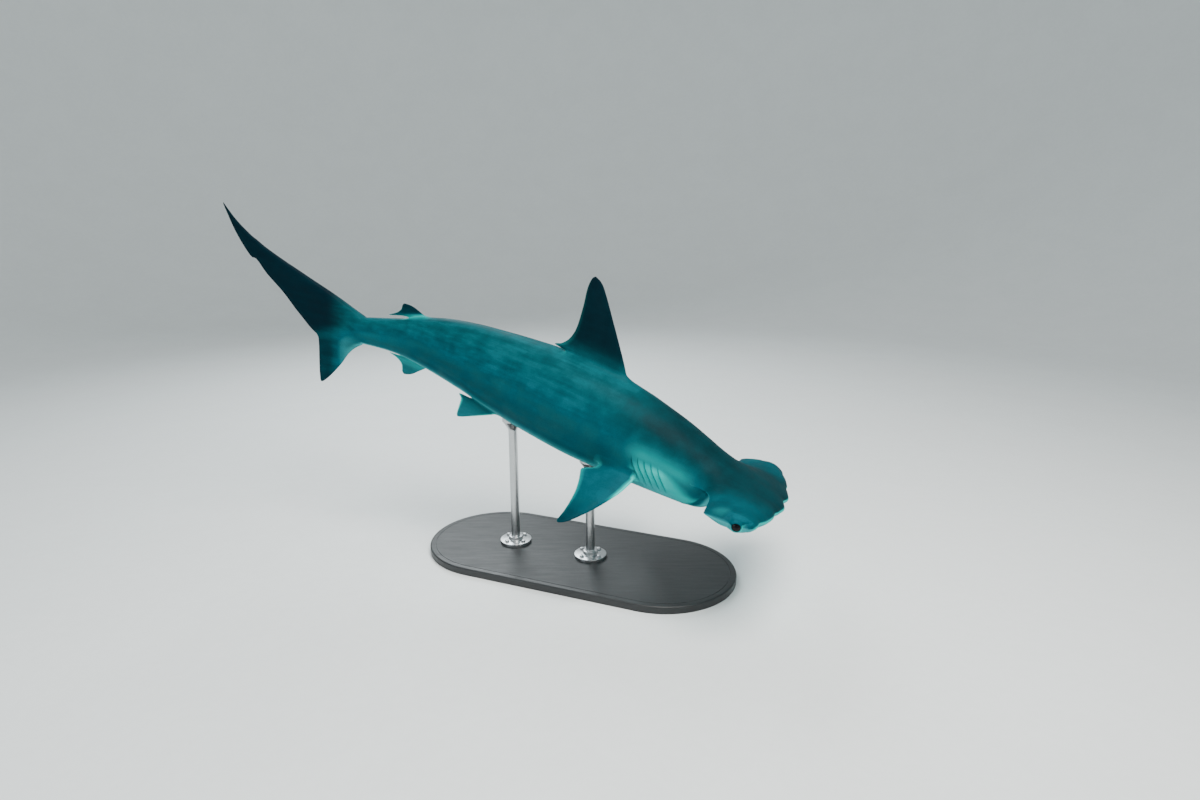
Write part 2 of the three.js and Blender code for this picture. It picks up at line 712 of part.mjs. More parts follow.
addTo(shark, 'head', headGeometry(), looks.back);
const lengths = [
  ['gill_region', cuts.neck, cuts.shoulder],
  ['trunk_front', cuts.shoulder, cuts.waist],
  ['trunk_rear', cuts.waist, cuts.stem],
  ['tail_stem', cuts.stem, cuts.tail],
];
for (const [name, from, to] of lengths) {
  addTo(shark, name, loft(bodyRings(between(from, to, bodyPlaces))), looks.back);
}
addTo(shark, 'caudal_upper_lobe', lobeSkin, looks.fin);
addTo(shark, 'caudal_lower_lobe', toGeometry(finSolid(fins.lowerLobe).subtract(tailCutter)), looks.fin);
addTo(shark, 'first_dorsal_fin', toGeometry(finSolid(fins.firstDorsal).subtract(trunkCutter)), looks.fin);
addTo(shark, 'second_dorsal_fin', toGeometry(finSolid(fins.secondDorsal).subtract(trunkCutter)), looks.fin);
addTo(shark, 'anal_fin', toGeometry(finSolid(fins.anal).subtract(trunkCutter)), looks.fin);
for (const [name, side] of [['left', 1], ['right', -1]]) {
  addTo(shark, `pectoral_fin_${name}`, toGeometry(finSolid(fins.pectoral, side).subtract(trunkCutter)), looks.fin);
  addTo(shark, `pelvic_fin_${name}`, toGeometry(finSolid(fins.pelvic, side).subtract(trunkCutter)), looks.fin);
  addTo(shark, `eye_${name}`, toGeometry(toSolid(ball(eyeCentre(side), eye.radius * percent))), looks.eye);
}

// Stand

function baseGeometry() {
  const radius = base.width / 2 - base.chamfer;
  const straight = base.length / 2 - base.width / 2;
  const outline = new THREE.Shape();
  outline.absarc(straight, 0, radius, -Math.PI / 2, Math.PI / 2);
  outline.absarc(-straight, 0, radius, Math.PI / 2, 3 * Math.PI / 2);
  return new THREE.ExtrudeGeometry(outline, {
    depth: base.thickness - 2 * base.chamfer,
    bevelSize: base.chamfer,
    bevelThickness: base.chamfer,
    bevelSegments: 1,
    curveSegments: 12,
  });
}

// A rod on its flange, with a cup that widens to the belly.
function rodSolid(height) {
  const profile = [
    [0, 0], [rod.flange - 2, 0], [rod.flange, 2], [rod.flange, rod.flangeHeight - 2],
    [rod.flange - 2, rod.flangeHeight], [rod.collar, rod.flangeHeight],
    [rod.radius + 2, rod.flangeHeight + 14], [rod.radius, rod.flangeHeight + 18],
    [rod.radius, height - rod.cupHeight], [rod.cup, height - 8], [rod.cup, height + 60], [0, height + 60],
  ].map(([x, y]) => new THREE.Vector2(x, y));
  let solid = toSolid(new THREE.LatheGeometry(profile, 16).rotateX(Math.PI / 2));
  for (let i = 0; i < 4; i += 1) {
    const angle = Math.PI / 4 + i * Math.PI / 2;
    const bolt = new THREE.CylinderGeometry(boltRadius, boltRadius, boltHeight + 4, 6).rotateX(Math.PI / 2);
    bolt.translate(boltCircle * Math.cos(angle), boltCircle * Math.sin(angle), rod.flangeHeight + boltHeight / 2 - 2);
    solid = solid.add(toSolid(bolt));
  }
  return solid;
}

const baseMesh = addTo(model, 'stand_base', baseGeometry(), looks.base);
baseMesh.position.z = base.chamfer;
baseMesh.rotation.z = radians(heading);

const trunkInPlace = toSolid(grown(trunkSkin, clearance).applyMatrix4(shark.matrixWorld));
for (const [name, place] of Object.entries(rodPlaces)) {
  const belly = toVector([place, 0, along(bodyStations, place, 2)]).applyMatrix4(shark.matrixWorld);
  const foot = base.thickness + clearance;
  const solid = rodSolid(belly.z - foot).translate([belly.x, belly.y, foot]).subtract(trunkInPlace);
  const geometry = toGeometry(solid).translate(-belly.x, -belly.y, -foot);
  const mesh = addTo(model, `stand_rod_${name}`, geometry, looks.rod);
  mesh.position.set(belly.x, belly.y, foot);
}

export default model;
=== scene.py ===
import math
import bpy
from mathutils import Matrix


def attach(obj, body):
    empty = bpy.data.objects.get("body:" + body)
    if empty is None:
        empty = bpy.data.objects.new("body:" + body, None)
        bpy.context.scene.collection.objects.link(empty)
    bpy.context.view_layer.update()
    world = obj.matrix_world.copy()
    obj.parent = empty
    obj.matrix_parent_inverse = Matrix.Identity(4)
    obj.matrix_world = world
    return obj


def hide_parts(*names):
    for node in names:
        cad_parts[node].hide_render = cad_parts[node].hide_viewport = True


bl_info = {
    "name": "Hammerhead Shark",
    "version": (1, 0, 0),
    "blender": (4, 5, 0),
    "location": "3D Viewport > Sidebar > Shark",
    "description": "A life-size scalloped hammerhead shark on a plain display stand",
    "category": "Add Mesh",
}

import bmesh
import bpy
import numpy as np
from bpy.props import FloatProperty, FloatVectorProperty, IntProperty, PointerProperty
from mathutils import Matrix, Vector
from mathutils.bvhtree import BVHTree

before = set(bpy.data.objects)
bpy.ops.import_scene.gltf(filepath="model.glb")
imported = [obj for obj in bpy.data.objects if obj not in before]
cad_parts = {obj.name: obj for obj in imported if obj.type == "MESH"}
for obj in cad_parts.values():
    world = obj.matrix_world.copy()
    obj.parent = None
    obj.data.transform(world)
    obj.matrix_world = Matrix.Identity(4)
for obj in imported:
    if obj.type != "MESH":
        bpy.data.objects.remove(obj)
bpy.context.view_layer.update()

# Places on the shark are given in percent of its total length: how far behind
# the front of the snout, how far to its left and how far above its spine. They
# are set out on a straight spine, and bend() then bends and poses them all.

SHOULDER = 26.5
SHOULDER_PLACE = (0.157, -0.069, 0.560)
HEADING = -22.5
NOSE_DOWN = 18.2

# How the spine bends behind and ahead of the shoulder, in degrees at BEND_REACH.
BEND_REACH = 40
STIFF_HEAD = 12
STIFF_TAIL = 80
SIDE_BEND = (-8.0, 7.4, 8.2)
TAIL_PITCH = 6.0
NECK_PITCH = 4.2
HEAD_TWIST = -3.8
HEAD_TURN = -2.6
SPINE_STEP = 0.05
SPINE_REACH = (-5.0, 105.0)

# The body: place, back, belly and half width.
BODY_STATIONS = (
    (13.4, 3.8, -5.85, 4.9), (17, 4.9, -6.1, 5.3), (21, 5.85, -6.35, 5.65), (25, 6.7, -6.5, 5.95),
    (29, 7.35, -6.65, 6.1), (33, 7.55, -6.65, 6.1), (38, 7.6, -6.35, 5.85), (43, 7.3, -5.9, 5.3),
    (48, 6.9, -5.2, 4.55), (53, 6.45, -4.25, 3.7), (58, 5.7, -3.35, 2.95), (62, 4.7, -2.65, 2.4),
    (66, 3.45, -2.15, 1.95), (71.5, 2.25, -2.1, 1.55),
)
WIDEST_HEIGHT = 0.46
BACK_ROUNDNESS = 2.0
BELLY_ROUNDNESS = 2.3
NECK_PLACE = 13.4
TAIL_PLACE = 71.5

# The hammer, seen from above: its half span at each line of its loft.
HAMMER_SPAN = (
    (0, 12.4), (0.3, 13.5), (0.8, 13.9), (1.8, 14.1), (3.5, 14.1), (5.5, 13.9),
    (7.3, 13.65), (8.55, 13.3), (8.8, 12.4), (9.0, 11.1), (9.3, 9.4), (9.8, 7.8),
    (10.7, 6.35), (11.8, 5.4), (13.4, 4.9),
)
HAMMER_CORNER = 8.55
WIDEST_SPAN = 14.1
FRONT_MIDDLE = 0.75
FRONT_SWEEP = 2.75
FRONT_POWER = 1.9
# Scallops of the front edge: place across, depth and reach of each.
SCALLOPS = ((0, 0.4, 0.9), (2.4, -0.2, 1.1), (5.6, 0.25, 0.8), (10.7, 0.3, 0.9))
SCALLOP_FADE = 1.2
HEAD_FADE = 1.3
FLOW_SHARPNESS = 2.5
# The wings of the hammer: half thickness, how it grows from the front edge and
# tapers to the rear one, how round their ends are, the swelling at the eyes,
# how far they droop, and the lines where they and the droop fade out.
WING_HALF = 1.12
WING_SCALE = 2.38
WING_TAPER = 0.8
WING_ROUNDNESS = 12
WING_END = 10.5
EYE_LOBE = 0.2
EYE_LOBE_REACH = (11.3, 13.1)
WING_DROOP = (0.25, 0.95)
DROOP_END = 9
# The line from which the middle of the head sinks to that of the neck.
NECK_START = 8
# The middle of the head from the side: crown, underside of the snout, jaw.
CROWN_LINE = ((0, 0.05), (1, 0.5), (3, 1.05), (6, 1.6), (9, 2.35), (11.5, 3.2), (13.4, 3.8))
CROWN_WIDTH = ((0, 8.5), (5, 8.2), (8, 7.4), (9.3, 6.8), (10.6, 6.1), (11.8, 5.35), (13.4, 4.9))
CROWN_PEAK = ((0, 1.5), (9, 1.0), (13.4, 1 / BACK_ROUNDNESS))
SNOUT_BELOW = ((0, 0), (2, 0.5), (5, 0.7), (8, 0.6), (11, 0.2), (13.4, 0))
SNOUT_BELOW_WIDTH = 9.5
SNOUT_BELOW_PEAK = 1.2
JAW_LINE = ((7.6, 0), (8.2, 1.4), (9, 3.35), (10, 4.85), (11.5, 5.65), (13.4, 5.85))
JAW_PEAK = ((7.6, 1.2), (10, 1.1), (11.6, 0.95), (12.6, 0.7), (13.4, 1 / BELLY_ROUNDNESS))
THROAT = (10, 12.6)

# The mouth: its line on the underside, and the rows of skin across it, each
# with its place behind the line, how far it stands out and how far it slides.
MOUTH_FRONT = 7.7
MOUTH_DEPTH = 2.9
MOUTH_HALF_WIDTH = 3.46
MOUTH_LEAD = 0.1
MOUTH_SETBACK = 0.25
MOUTH_LINE_T = 7.67
# The lines of the underside are bent to the mouth from MOUTH_SEARCH backwards,
# in a band of MOUTH_BAND on each side of it, and run straight again beyond the
# mouth's corners.
MOUTH_SEARCH = 6.5
MOUTH_BAND = 0.45
MOUTH_CORNER_T = 10.7
MOUTH_FADE = (0.95, 1.04)
MOUTH_SIDES = (0.97, 0.8)
UNBENT_LINE = 2
MOUTH_ROWS = (
    (-0.42, 0.01, 0), (-0.32, 0.03, 0), (-0.24, 0.06, 0), (-0.17, 0.09, 0), (-0.11, 0.1, 0),
    (-0.06, 0.08, 0), (-0.03, 0.02, 0), (-0.015, -0.09, 0), (0, -0.24, 0.02), (0.02, -0.3, 0.04),
    (0.04, -0.24, 0.03), (0.055, -0.1, 0), (0.07, 0.04, 0), (0.1, 0.12, 0), (0.15, 0.15, 0),
    (0.22, 0.13, 0), (0.3, 0.08, 0), (0.4, 0.03, 0),
)

# Each nostril: from its outer to its inner end, where it lies behind the front
# edge, its half width and its depth.
NOSTRIL_ACROSS = (11.5, 8.7)
NOSTRIL_BEHIND = (1.0, 0.5)
NOSTRIL_HALF = (0.17, 0.06)
NOSTRIL_DEPTH = (0.5, 0.14)
NOSTRIL_ENDS = (
    NOSTRIL_ACROSS[1] - 0.2, NOSTRIL_ACROSS[1] + 0.5, NOSTRIL_ACROSS[0] - 0.1, NOSTRIL_ACROSS[0] + 0.2,
)
NOSTRIL_SIDES = (0.55, 1.25)
NOSTRIL_RIM = (0.07, 1.7, 0.5)
# The groove that runs from the nostril towards the middle: its soft ends, its
# place behind the front edge, its reach, its depth and its painted shade.
GROOVE_ENDS = (1.8, 3.4, 8.0, 8.8)
GROOVE_BEHIND = 0.45
GROOVE_REACH = 0.14
GROOVE_DEPTH = 0.07
GROOVE_SHADE = 0.3

EYE_PLACE = 5.15
EYE_ACROSS = 13.4
EYE_RADIUS = 0.8
EYE_LINE = EYE_PLACE - 2.2
EYE_AHEAD = 0.15
EYE_PATCH = (0.5, 5.0)
EYE_HALF_TURN = 20
LID_THICKNESS = 0.07
LID_GAP = 0.012
LID_OPENING = (0.74, 0.66)
LID_LANDING = 64
LID_MARGIN = 0.12
# The lids swell towards their rims, which roll in over the eye. The rest are the
# painted shade towards and on their rims, with the painted shade in the crease
# round them, and where the socket ends.
LID_COVER = 0.92
LID_SWELL = 0.035
LID_SWELL_REACH = (0.2, 0.9)
LID_ROLL = 0.02
LID_BOWS = (35, 65, 95, 125, 155, 180)
LID_SHADE = 0.2
LID_RIM_SHADE = 0.5
LID_CREASE = (0.25, 0.86, 0.08)
SOCKET_BACK = 176
# Rings of skin: from the patch's border to the lids, over them, and behind them.
LID_APPROACH = 11
LID_ROWS = 5
SOCKET_ROWS = 11
# Painted highlights on the lids, a spot ahead of the eye and an arc under it: how
# pale, and between which shares of the way there. Both lie round one ring of the lids.
EYE_HIGHLIGHT = (0.75, 0.7, 0.95)
EYE_HIGHLIGHT_ARC = (0.6, 0.4, 0.9)
GLEAM_RING = (11, 3.5)
EYE_TURNS = 96
EYE_ROWS = 30
EYE_STRETCHES = ((2, 60), (64, 178))
CORNEA_DOME = 0.03
CORNEA_REACH = 40

# Gill slits: place, and half height of each.
GILL_SLITS = ((17.0, 1.55), (18.0, 1.7), (19.0, 1.75), (19.95, 1.7), (20.9, 1.6))
GILL_HEIGHT = -2.75
GILL_REACH = 1.9
GILL_LEAN = 0.8
GILL_BOW = 0.2
# Where the lean sets in and dies away, the soft ends of a slit as shares of its
# half height, and the depths between which its skin is painted darker, as shade.
LEAN_ENDS = (NECK_PLACE, GILL_SLITS[0][0] - 0.7, 21.3, 24.5)
LEAN_PASSES = 3
SLIT_ENDS = (0.72, 1.15)
RECESS_DEPTHS = (0.02, 0.2)
# Rows of skin across a slit: place behind it, how far it stands out and how
# far it slides under the flap in front.
GILL_ROWS = (
    (-0.62, 0.02, 0), (-0.45, 0.07, 0), (-0.28, 0.14, 0), (-0.15, 0.19, 0), (-0.07, 0.21, 0),
    (-0.015, 0.19, 0.02), (0, 0.12, 0.02), (0.012, -0.05, -0.08), (0.03, -0.28, -0.13),
    (0.07, -0.32, -0.06), (0.11, -0.19, 0), (0.17, -0.08, 0), (0.26, -0.02, 0),
)

# The upper lobe of the tail fin: place, front edge, rear edge and half thickness.
UPPER_LOBE = (
    (71.5, 2.25, -2.1, 1.55), (74, 3.45, -1.9, 1.15), (77, 5.05, -2.0, 0.85),
    (79.3, 6.25, -2.2, 0.7), (82.6, 8.0, 1.15, 0.55), (84.9, 9.2, 3.95, 0.47),
    (87.6, 10.75, 6.7, 0.38), (89.2, 11.85, 8.75, 0.32), (90, 12.4, 9.0, 0.29),
    (92.3, 14.5, 12.5, 0.2), (94.1, 16.7, 16.45, 0.08),
)
LOBE_END = 94.1
FORK = 79.5
# How far behind the tail's root the sections turn from a stem to a blade, in
# thickness and in height, and where the lower lobe's keel sets in.
BLADE_REACH = 5
BLADE_SPREAD = 4
BLADE_CREST = 0.2
KEEL_REACH = 1.5
KEEL_TOP = -0.4
KEEL_START = (71.2, 72.0)
KEEL_SAMPLES = 90
EDGE_CLOSING = 8
LOWER_LOBE_ROOT = 71.1
LOWER_LOBE_RIBS = (
    (-2.4, 0.6, 8.6, 0.95), (0, -0.1, 8.4, 0.8), (0.5, 0.9, 8.15, 0.62), (1.2, 1.9, 8.05, 0.5),
    (2.5, 3.0, 7.95, 0.4), (4.1, 3.9, 7.9, 0.32), (6.0, 5.25, 7.8, 0.22), (7.5, 6.5, 7.65, 0.13),
    (8.1, 7.2, 7.55, 0.07),
)

# Fins. Each stands on the skin at a place and a turn, with a chord line that
# runs back along the body and a span line away from it. Its ribs give the
# height of the rib, its front end, its rear end and its half thickness. The
# patch is the stretch of body that flows into the fin, with its half turn, and
# the lifts are how high the flare of the skin climbs at the front and rear.
ON_BACK = 0.25
ON_BELLY = 0.75
FINS = {
    "first_dorsal": {
        "place": 26, "turn": ON_BACK, "back": (1, 0, 0), "out": (0, 0, 1),
        "patch": (25.0, 37.9), "half_turn": 7, "lifts": (0.75, 0.08), "rows": 52,
        "ribs": (
            (-1.3, 0, 10.4, 1.0), (0.3, 1.0, 10.6, 0.85), (0.7, 1.6, 11.0, 0.7), (1.1, 2.0, 13.5, 0.6),
            (1.6, 2.3, 12.6, 0.56), (2.6, 2.9, 11.65, 0.52), (4.4, 4.05, 11.0, 0.47),
            (7.8, 6.25, 10.85, 0.36), (10.6, 8.05, 10.95, 0.22), (12.0, 9.1, 10.75, 0.14),
            (12.6, 10.0, 10.5, 0.07),
        ),
    },
    "second_dorsal": {
        "place": 61.2, "turn": ON_BACK, "back": (1, 0, -0.29), "out": (0.29, 0, 1),
        "patch": (60.3, 65.4), "half_turn": 7, "lifts": (0.3, 0.03), "rows": 26,
        "ribs": (
            (-1, -0.7, 3.0, 0.6), (0, -0.05, 3.2, 0.4), (0.35, 0.45, 4.4, 0.3), (0.55, 0.7, 6.6, 0.25),
            (0.85, 1.05, 5.2, 0.22), (1.3, 1.6, 4.35, 0.19), (1.8, 2.3, 4.05, 0.14),
            (2.25, 3.2, 3.95, 0.08),
        ),
    },
    "anal": {
        "place": 59.7, "turn": ON_BELLY, "back": (1, 0, 0.15), "out": (0.15, 0, -1),
        "patch": (58.8, 65.7), "half_turn": 7, "lifts": (0.3, 0.03), "rows": 26,
        "ribs": (
            (-1, -0.8, 4.7, 0.6), (0, -0.05, 4.9, 0.4), (0.3, 0.4, 5.6, 0.3), (0.5, 0.6, 7.2, 0.25),
            (0.8, 0.9, 5.9, 0.22), (1.4, 1.5, 4.8, 0.19), (2.2, 2.3, 4.4, 0.14), (2.9, 3.3, 4.25, 0.08),
        ),
    },
    "pectoral": {
        "place": 21.2, "turn": 0.583, "back": (1, 0.02, -0.05), "out": (0, 0.857, -0.515),
        "patch": (21.1, 27.2), "half_turn": 5, "lifts": (0.55, 0.12), "rows": 42,
        "ribs": (
            (-1.6, -1.0, 5.0, 1.1), (0, -0.6, 5.0, 0.8), (0.9, -0.5, 5.2, 0.58), (1.5, -0.4, 6.2, 0.52),
            (1.9, -0.3, 6.75, 0.49), (2.7, -0.1, 6.55, 0.45), (3.9, 0.3, 6.1, 0.41), (5.7, 1.1, 5.65, 0.35),
            (7.6, 2.1, 5.45, 0.27), (9.3, 3.2, 5.4, 0.2), (10.5, 4.1, 5.5, 0.13), (11.2, 4.9, 5.55, 0.07),
        ),
    },
    "pelvic": {
        "place": 45, "turn": 0.674, "back": (1, -0.09, 0.14), "out": (0, 0.643, -0.766),
        "patch": (44.2, 51.3), "half_turn": 4, "lifts": (0.25, 0.03), "rows": 28,
        "ribs": (
            (-1.1, -0.5, 4.9, 0.7), (0, -0.05, 5.0, 0.45), (0.35, 0.45, 7.3, 0.3), (0.9, 1.25, 6.7, 0.26),
            (1.9, 2.75, 6.4, 0.2), (2.9, 4.3, 6.15, 0.14), (3.6, 5.4, 5.95, 0.07),
        ),
    },
}
THINNEST_HALF = 0.016
# The section of a fin, from its nose to its rear edge.
FIN_SCALE = 2.6
FIN_TAPER = 1.1
NOSE_SHARE = 0.04
TRAIL_SHARE = 0.95
TRAIL_CLOSING = 60
# The flare at a fin's root, and the rows above it, closer near the root.
ROOT_SEARCH = 2.0
ROOT_STEP = 0.08
FLARE_ROWS = 7
ROW_POWER = 1.7
# The rounded tip: how high it is, how wide it stays, and its rows from the end.
TIP_ROUND = 0.4
TIP_WIDTH = 1.01
TIP_ROWS = (0.3, 0.2, 0.12, 0.06, 0.02)

# The colour marks of each fin. Shade is the darkness of its upper and under
# face. Each stain has a weight and the shares of the span between which it sets
# in, and stained is how much of it each face takes, if not all. Rear is how pale
# the rear edge is. Pale has a weight and where on chord and span it ends.
WHOLE_WAY = (1, 2)
FIN_LOOKS = {
    "first_dorsal": {
        "shade": (0.9, 0.9), "stains": ((0.85, 0.0, 0.32), (0.1, 0.75, 1)),
        "rear": 0.2, "pale": (0, WHOLE_WAY, WHOLE_WAY), "bronze": 1,
    },
    "second_dorsal": {
        "shade": (0.8, 0.8), "stains": ((0.9, 0.1, 0.45),),
        "rear": 0.5, "pale": (0.5, WHOLE_WAY, (0.1, 0.3)),
    },
    "anal": {
        "shade": (0.4, 0.4), "stains": (),
        "rear": 0.7, "pale": (0.3, WHOLE_WAY, (0.2, 0.6)),
    },
    "pectoral": {
        "shade": (0.56, 0.03), "stains": ((1, 0.5, 0.95),), "stained": (0.75, 1),
        "rear": 0.3, "pale": (1.5, (0.01, 0.06), (0.3, 0.52)),
    },
    "pelvic": {
        "shade": (0.46, 0.05), "stains": (),
        "rear": 0.8, "pale": (0.9, (0.0, 0.05), WHOLE_WAY),
    },
}
PAIRED_FINS = ("pectoral", "pelvic")
FIN_ROOT = (0, 0.12)
REAR_EDGE = (0.9, 0.99)
BRONZE_SPAN = (0, 0.4)

# How finely the skin is divided: points round the body, and twice as many
# round the head.
ROUND_COUNT = 128
HEAD_COUNT = 2 * ROUND_COUNT
BODY_STEP = 0.4
HALVINGS = 30
# The lines of the head: how many crowd at the front edge and up to where, and
# then start, end and step of each stretch. The tail has such stretches too.
FRONT_LINES = 9
FRONT_LINES_END = 0.55
HEAD_STRETCHES = (
    (0.55, 1.68, 0.057), (1.72, 5.1, 0.16), (5.2, 7.1, 0.28),
    (8.13, 9.3, 0.07), (9.32, 10.9, 0.13), (10.95, 13.25, 0.2),
)
TAIL_STRETCHES = ((TAIL_PLACE + 0.3, 78.3, 0.38), (78.36, 79.8, 0.065), (79.9, LOBE_END, 0.3))
RELAX_PASSES = 24
RELAX_REACH = 6

# The stand, in metres. Each rod stands under a place on the belly.
ROD_PLACES = {"front": 29.2, "rear": 43.4}
ROD_TURNS = 96
FLANGE_RADIUS = 0.062
FLANGE_HEIGHT = 0.012
FLANGE_FOOT = 0.0006
COLLAR_RADIUS = 0.027
COLLAR_HEIGHT = 0.014
COLLAR_FILLET = 0.0035
FILLET_STEPS = (0, 22, 45, 68, 90)
STEEL_EDGE = 0.0015
STEEL_EDGE_STEPS = 4
# The rod's step above its collar, and the foot of its straight shaft.
ROD_STEPS = ((0.002, 0), (0.0016, 0.0018), (0.0006, 0.0034), (0, 0.004))
SHAFT_FOOT = 0.02
SHAFT_SHARES = (0.25, 0.5, 0.75)
# The cup: its height, how thick it is in the middle, how it widens, its rim, and
# the rings of its hollow as shares of its radius.
CUP_HEIGHT = 0.046
CUP_WALL = 0.008
CUP_POWER = 1.25
CUP_STEPS = 13
CUP_RING_GAP = 0.0012
CUP_RIM = 0.0008
CUP_LIP = ((0.0003, 0.0003), (0.001, 0.0))
CUP_SHARES = (0.8, 0.5, 0.2, 0.04)
# The pad: its gap to the skin, how far it stays inside the cup and sinks into
# it, its rounding, and the rings of its faces as shares of its radius.
SKIN_GAP = 0.0003
PAD_INSET = 0.0009
PAD_ROUND = 0.0009
PAD_SINK = 0.0001
PAD_CORNER = 0.3
PAD_SHARES = (0.04, 0.5, 0.8)
BELLY_PROBE = 0.1
# The base: points along its ends and sides, its foot, the steps of its edge, and
# its groove as ways in and up from the top edge.
END_STEPS = 24
SIDE_STEPS = 12
BOARD_FOOT = 0.0015
BOARD_EDGE_STEPS = 7
BOARD_GROOVE = ((0.022, 0), (0.0224, -0.0012), (0.0236, -0.0012), (0.024, 0))
# Bolts: the washer under the head, and the head's chamfer and crown.
BOLT_TURNS = 48
WASHER_HEIGHT = 0.0014
WASHER_SHARES = (1.12, 1.16)
WASHER_EDGE = 0.0003
BOLT_SEAT = (0.995, 0.0002)
BOLT_CHAMFER = 0.0012
BOLT_BOW = 0.0008
BOLT_CROWN = ((0.86, 0.0002), (0.7, 0), (0.3, 0))
BOLT_SHOULDER = (0.97, 0.0006)
BOLT_CIRCLE_TURN = (0, 0, math.radians(45))
BOLT_SEED = 7
# The angles past which edges look sharp, in degrees.
BOARD_SHARP = 40
ROD_SHARP = 38
PAD_SHARP = 50
BOLT_SHARP = 30

# The stage: the floor's rings and the lamps, each with its place, its size, its
# share of the power and its colour, all turned to one point.
BOWL_TURNS = 96
BOWL_STEPS = 25
FLOOR_RINGS = (0.5, 2.0, 4.0)
LIT_POINT = (0.0, 0.0, 0.55)
LAMPS = (
    ("key", (0.9, -1.6, 3.9), 3.0, 1.0, (1.0, 0.98, 0.94)),
    ("fill", (-3.4, -2.8, 1.9), 2.6, 0.16, (0.86, 0.95, 1.0)),
    ("rim", (-1.2, 3.4, 3.2), 2.4, 0.5, (0.9, 0.97, 1.0)),
)

# Finishes of the made surfaces: the accent is a share of the colour that the
# grain varies towards, and the rest are the grain's and the gloss's measures.
BOARD_FINISH = {
    "accent": 1.35, "roughness": 0.5, "scale": 9.0, "depth": 0.0002, "stretch": (1, 9, 1), "coat": 0.05,
}
STEEL_FINISH = {
    "accent": 0.82, "roughness": 0.3, "scale": 30.0, "depth": 0.00006, "stretch": (1, 1, 40),
    "metallic": 1.0,
}
PAD_FINISH = {"accent": 1.6, "roughness": 0.85, "scale": 60.0, "depth": 0.0006}
FLOOR_FINISH = {"accent": 0.97, "roughness": 0.7, "scale": 3.0, "depth": 0.0004}
GRAIN_BROAD = (4.0, 0.6)
GRAIN_FINE = (2.0, 0.6)
GRAIN_FINENESS = 9.0
GRAIN_SHARES = (0.6, 0.4)
GRAIN_STRENGTH = 0.35
GRAIN_COLOR = (0.35, 0.65)
GRAIN_GLOSS = (0.3, 0.7)
GLOSS_SPREAD = (0.85, 1.15)

# The hide's patterns: scale, detail and roughness of each.
HIDE_BLOTCHES = (0.42, 4.0, 0.55)
HIDE_STREAKS = (1.2, 4.0, 0.6)
HIDE_FLECKS = (5.5, 3.0, 0.7)
HIDE_FOLDS = (1.1, 3.0, 0.5)
HIDE_GRAIN = (26.0, 2.0, 0.6)
STREAK_STRETCH = (0.07, 1.0, 1.0)
STREAK_FADE = (24.0, 44.0, 0.25, 1.0)
FOLD_STRETCH = (1.0, 0.5, 0.35)
# How they work on the skin. Ranges are from low and high to low and high.
BLOTCH_WANDER = 0.34
STREAK_WANDER = 0.3
SHADE_STOPS = (0.08, 0.3, 0.55, 0.96)
LOW_FLANK = 0.6
SKIN_TONES = {
    "Blotches": (0.3, 0.7, 0.8, 1.16), "Streaks": (0.3, 0.7, 0.74, 1.2), "Flecks": (0.3, 0.7, 0.9, 1.08),
}
RAY_COUNT = 190.0
RAY_TONE = (-1.0, 1.0, 0.965, 1.035)
PALE_STRENGTH = (0.25, 0.6, 0.6, 0.92)
STAIN_AND_SHADE_STRENGTH = 0.85
RECESS_SHADE_STRENGTH = 0.88
GLOSS_BLOTCHES = (0.3, 0.7)
GLOSS_REACH = (-0.06, 0.08)
# Strength and depth, in metres, of the folds, the fin rays and the grain.
FOLD_BUMP = (0.22, 0.004)
RAY_BUMP = (0.12, 0.0004)
GRAIN_BUMP = (0.3, 0.0006)
SKIN_SHINE = {"Coat Roughness": 0.28, "Specular IOR Level": 0.03}

# The eye: its pupil's height as a share, its patterns and its soft edges.
PUPIL_STRETCH = 0.8
PUPIL_EDGE = (-0.03, 0.02)
IRIS_FIBRES = (14.0, 4.0, 0.7)
IRIS_FIBRE_EDGE = (0.35, 0.65)
IRIS_MOTTLE = (9.0, 3.0)
IRIS_MOTTLE_RANGE = (0.45, 0.7, 0.0, 0.5)
IRIS_RIM = (0.58, 0.72)
EYE_SHINE = {"Roughness": 0.16, "Specular IOR Level": 0.05, "Coat Weight": 0.2, "Coat Roughness": 0.04}

FLESH_NODES = (
    "head", "gill_region", "trunk_front", "trunk_rear", "tail_stem",
    "caudal_upper_lobe", "caudal_lower_lobe", "first_dorsal_fin", "second_dorsal_fin", "anal_fin",
    "pectoral_fin_left", "pectoral_fin_right", "pelvic_fin_left", "pelvic_fin_right",
)

# What a point of the skin carries for its colour: darkness from belly to back,
# with painted shade on the sides of the jaw; bronze of the crown; stain of the fin
# tips, with painted shade low on the flank; depth in a slit, nostril or mouth and
# round the eyes, painted as shade; pale edging, with painted light and highlights
# over the gills, by the eyes and on the wings; how far out on a fin it is; and
# where on the fin's chord.
CHANNELS = ("shade", "bronze", "dusk", "recess", "pale", "fin", "ray")


def mix(start, end, share):
    return start + (end - start) * share


def smooth(start, end, value):
    share = np.clip((value - start) / (end - start), 0, 1)
    return share * share * (3 - 2 * share)


def within(ends, value):
    """1 between two soft ends, each given as a start and an end, and 0 outside them."""
    return smooth(ends[0], ends[1], value) * (1 - smooth(ends[2], ends[3], value))


def change(values, ends, at):
    """From one value to another, over a soft step between two ends."""
    return mix(*values, smooth(*ends, at))


def bump_at(value, centre, reach):
    return np.exp(-(((value - centre) / reach) ** 2))


def round_angles(count):
    return 2 * np.pi * np.arange(count) / count


def unit(vectors):
    vectors = np.asarray(vectors, float)
    return vectors / np.maximum(np.linalg.norm(vectors, axis=-1, keepdims=True), 1e-12)


def between(is_low, lowest, highest, like):
    """Where is_low turns from true to false between two values, for each one of an array."""
    low = np.full_like(like, lowest)
    high = np.full_like(like, highest)
    for _ in range(HALVINGS):
        middle = (low + high) / 2
        below = is_low(middle)
        low = np.where(below, middle, low)
        high = np.where(below, high, middle)
    return high


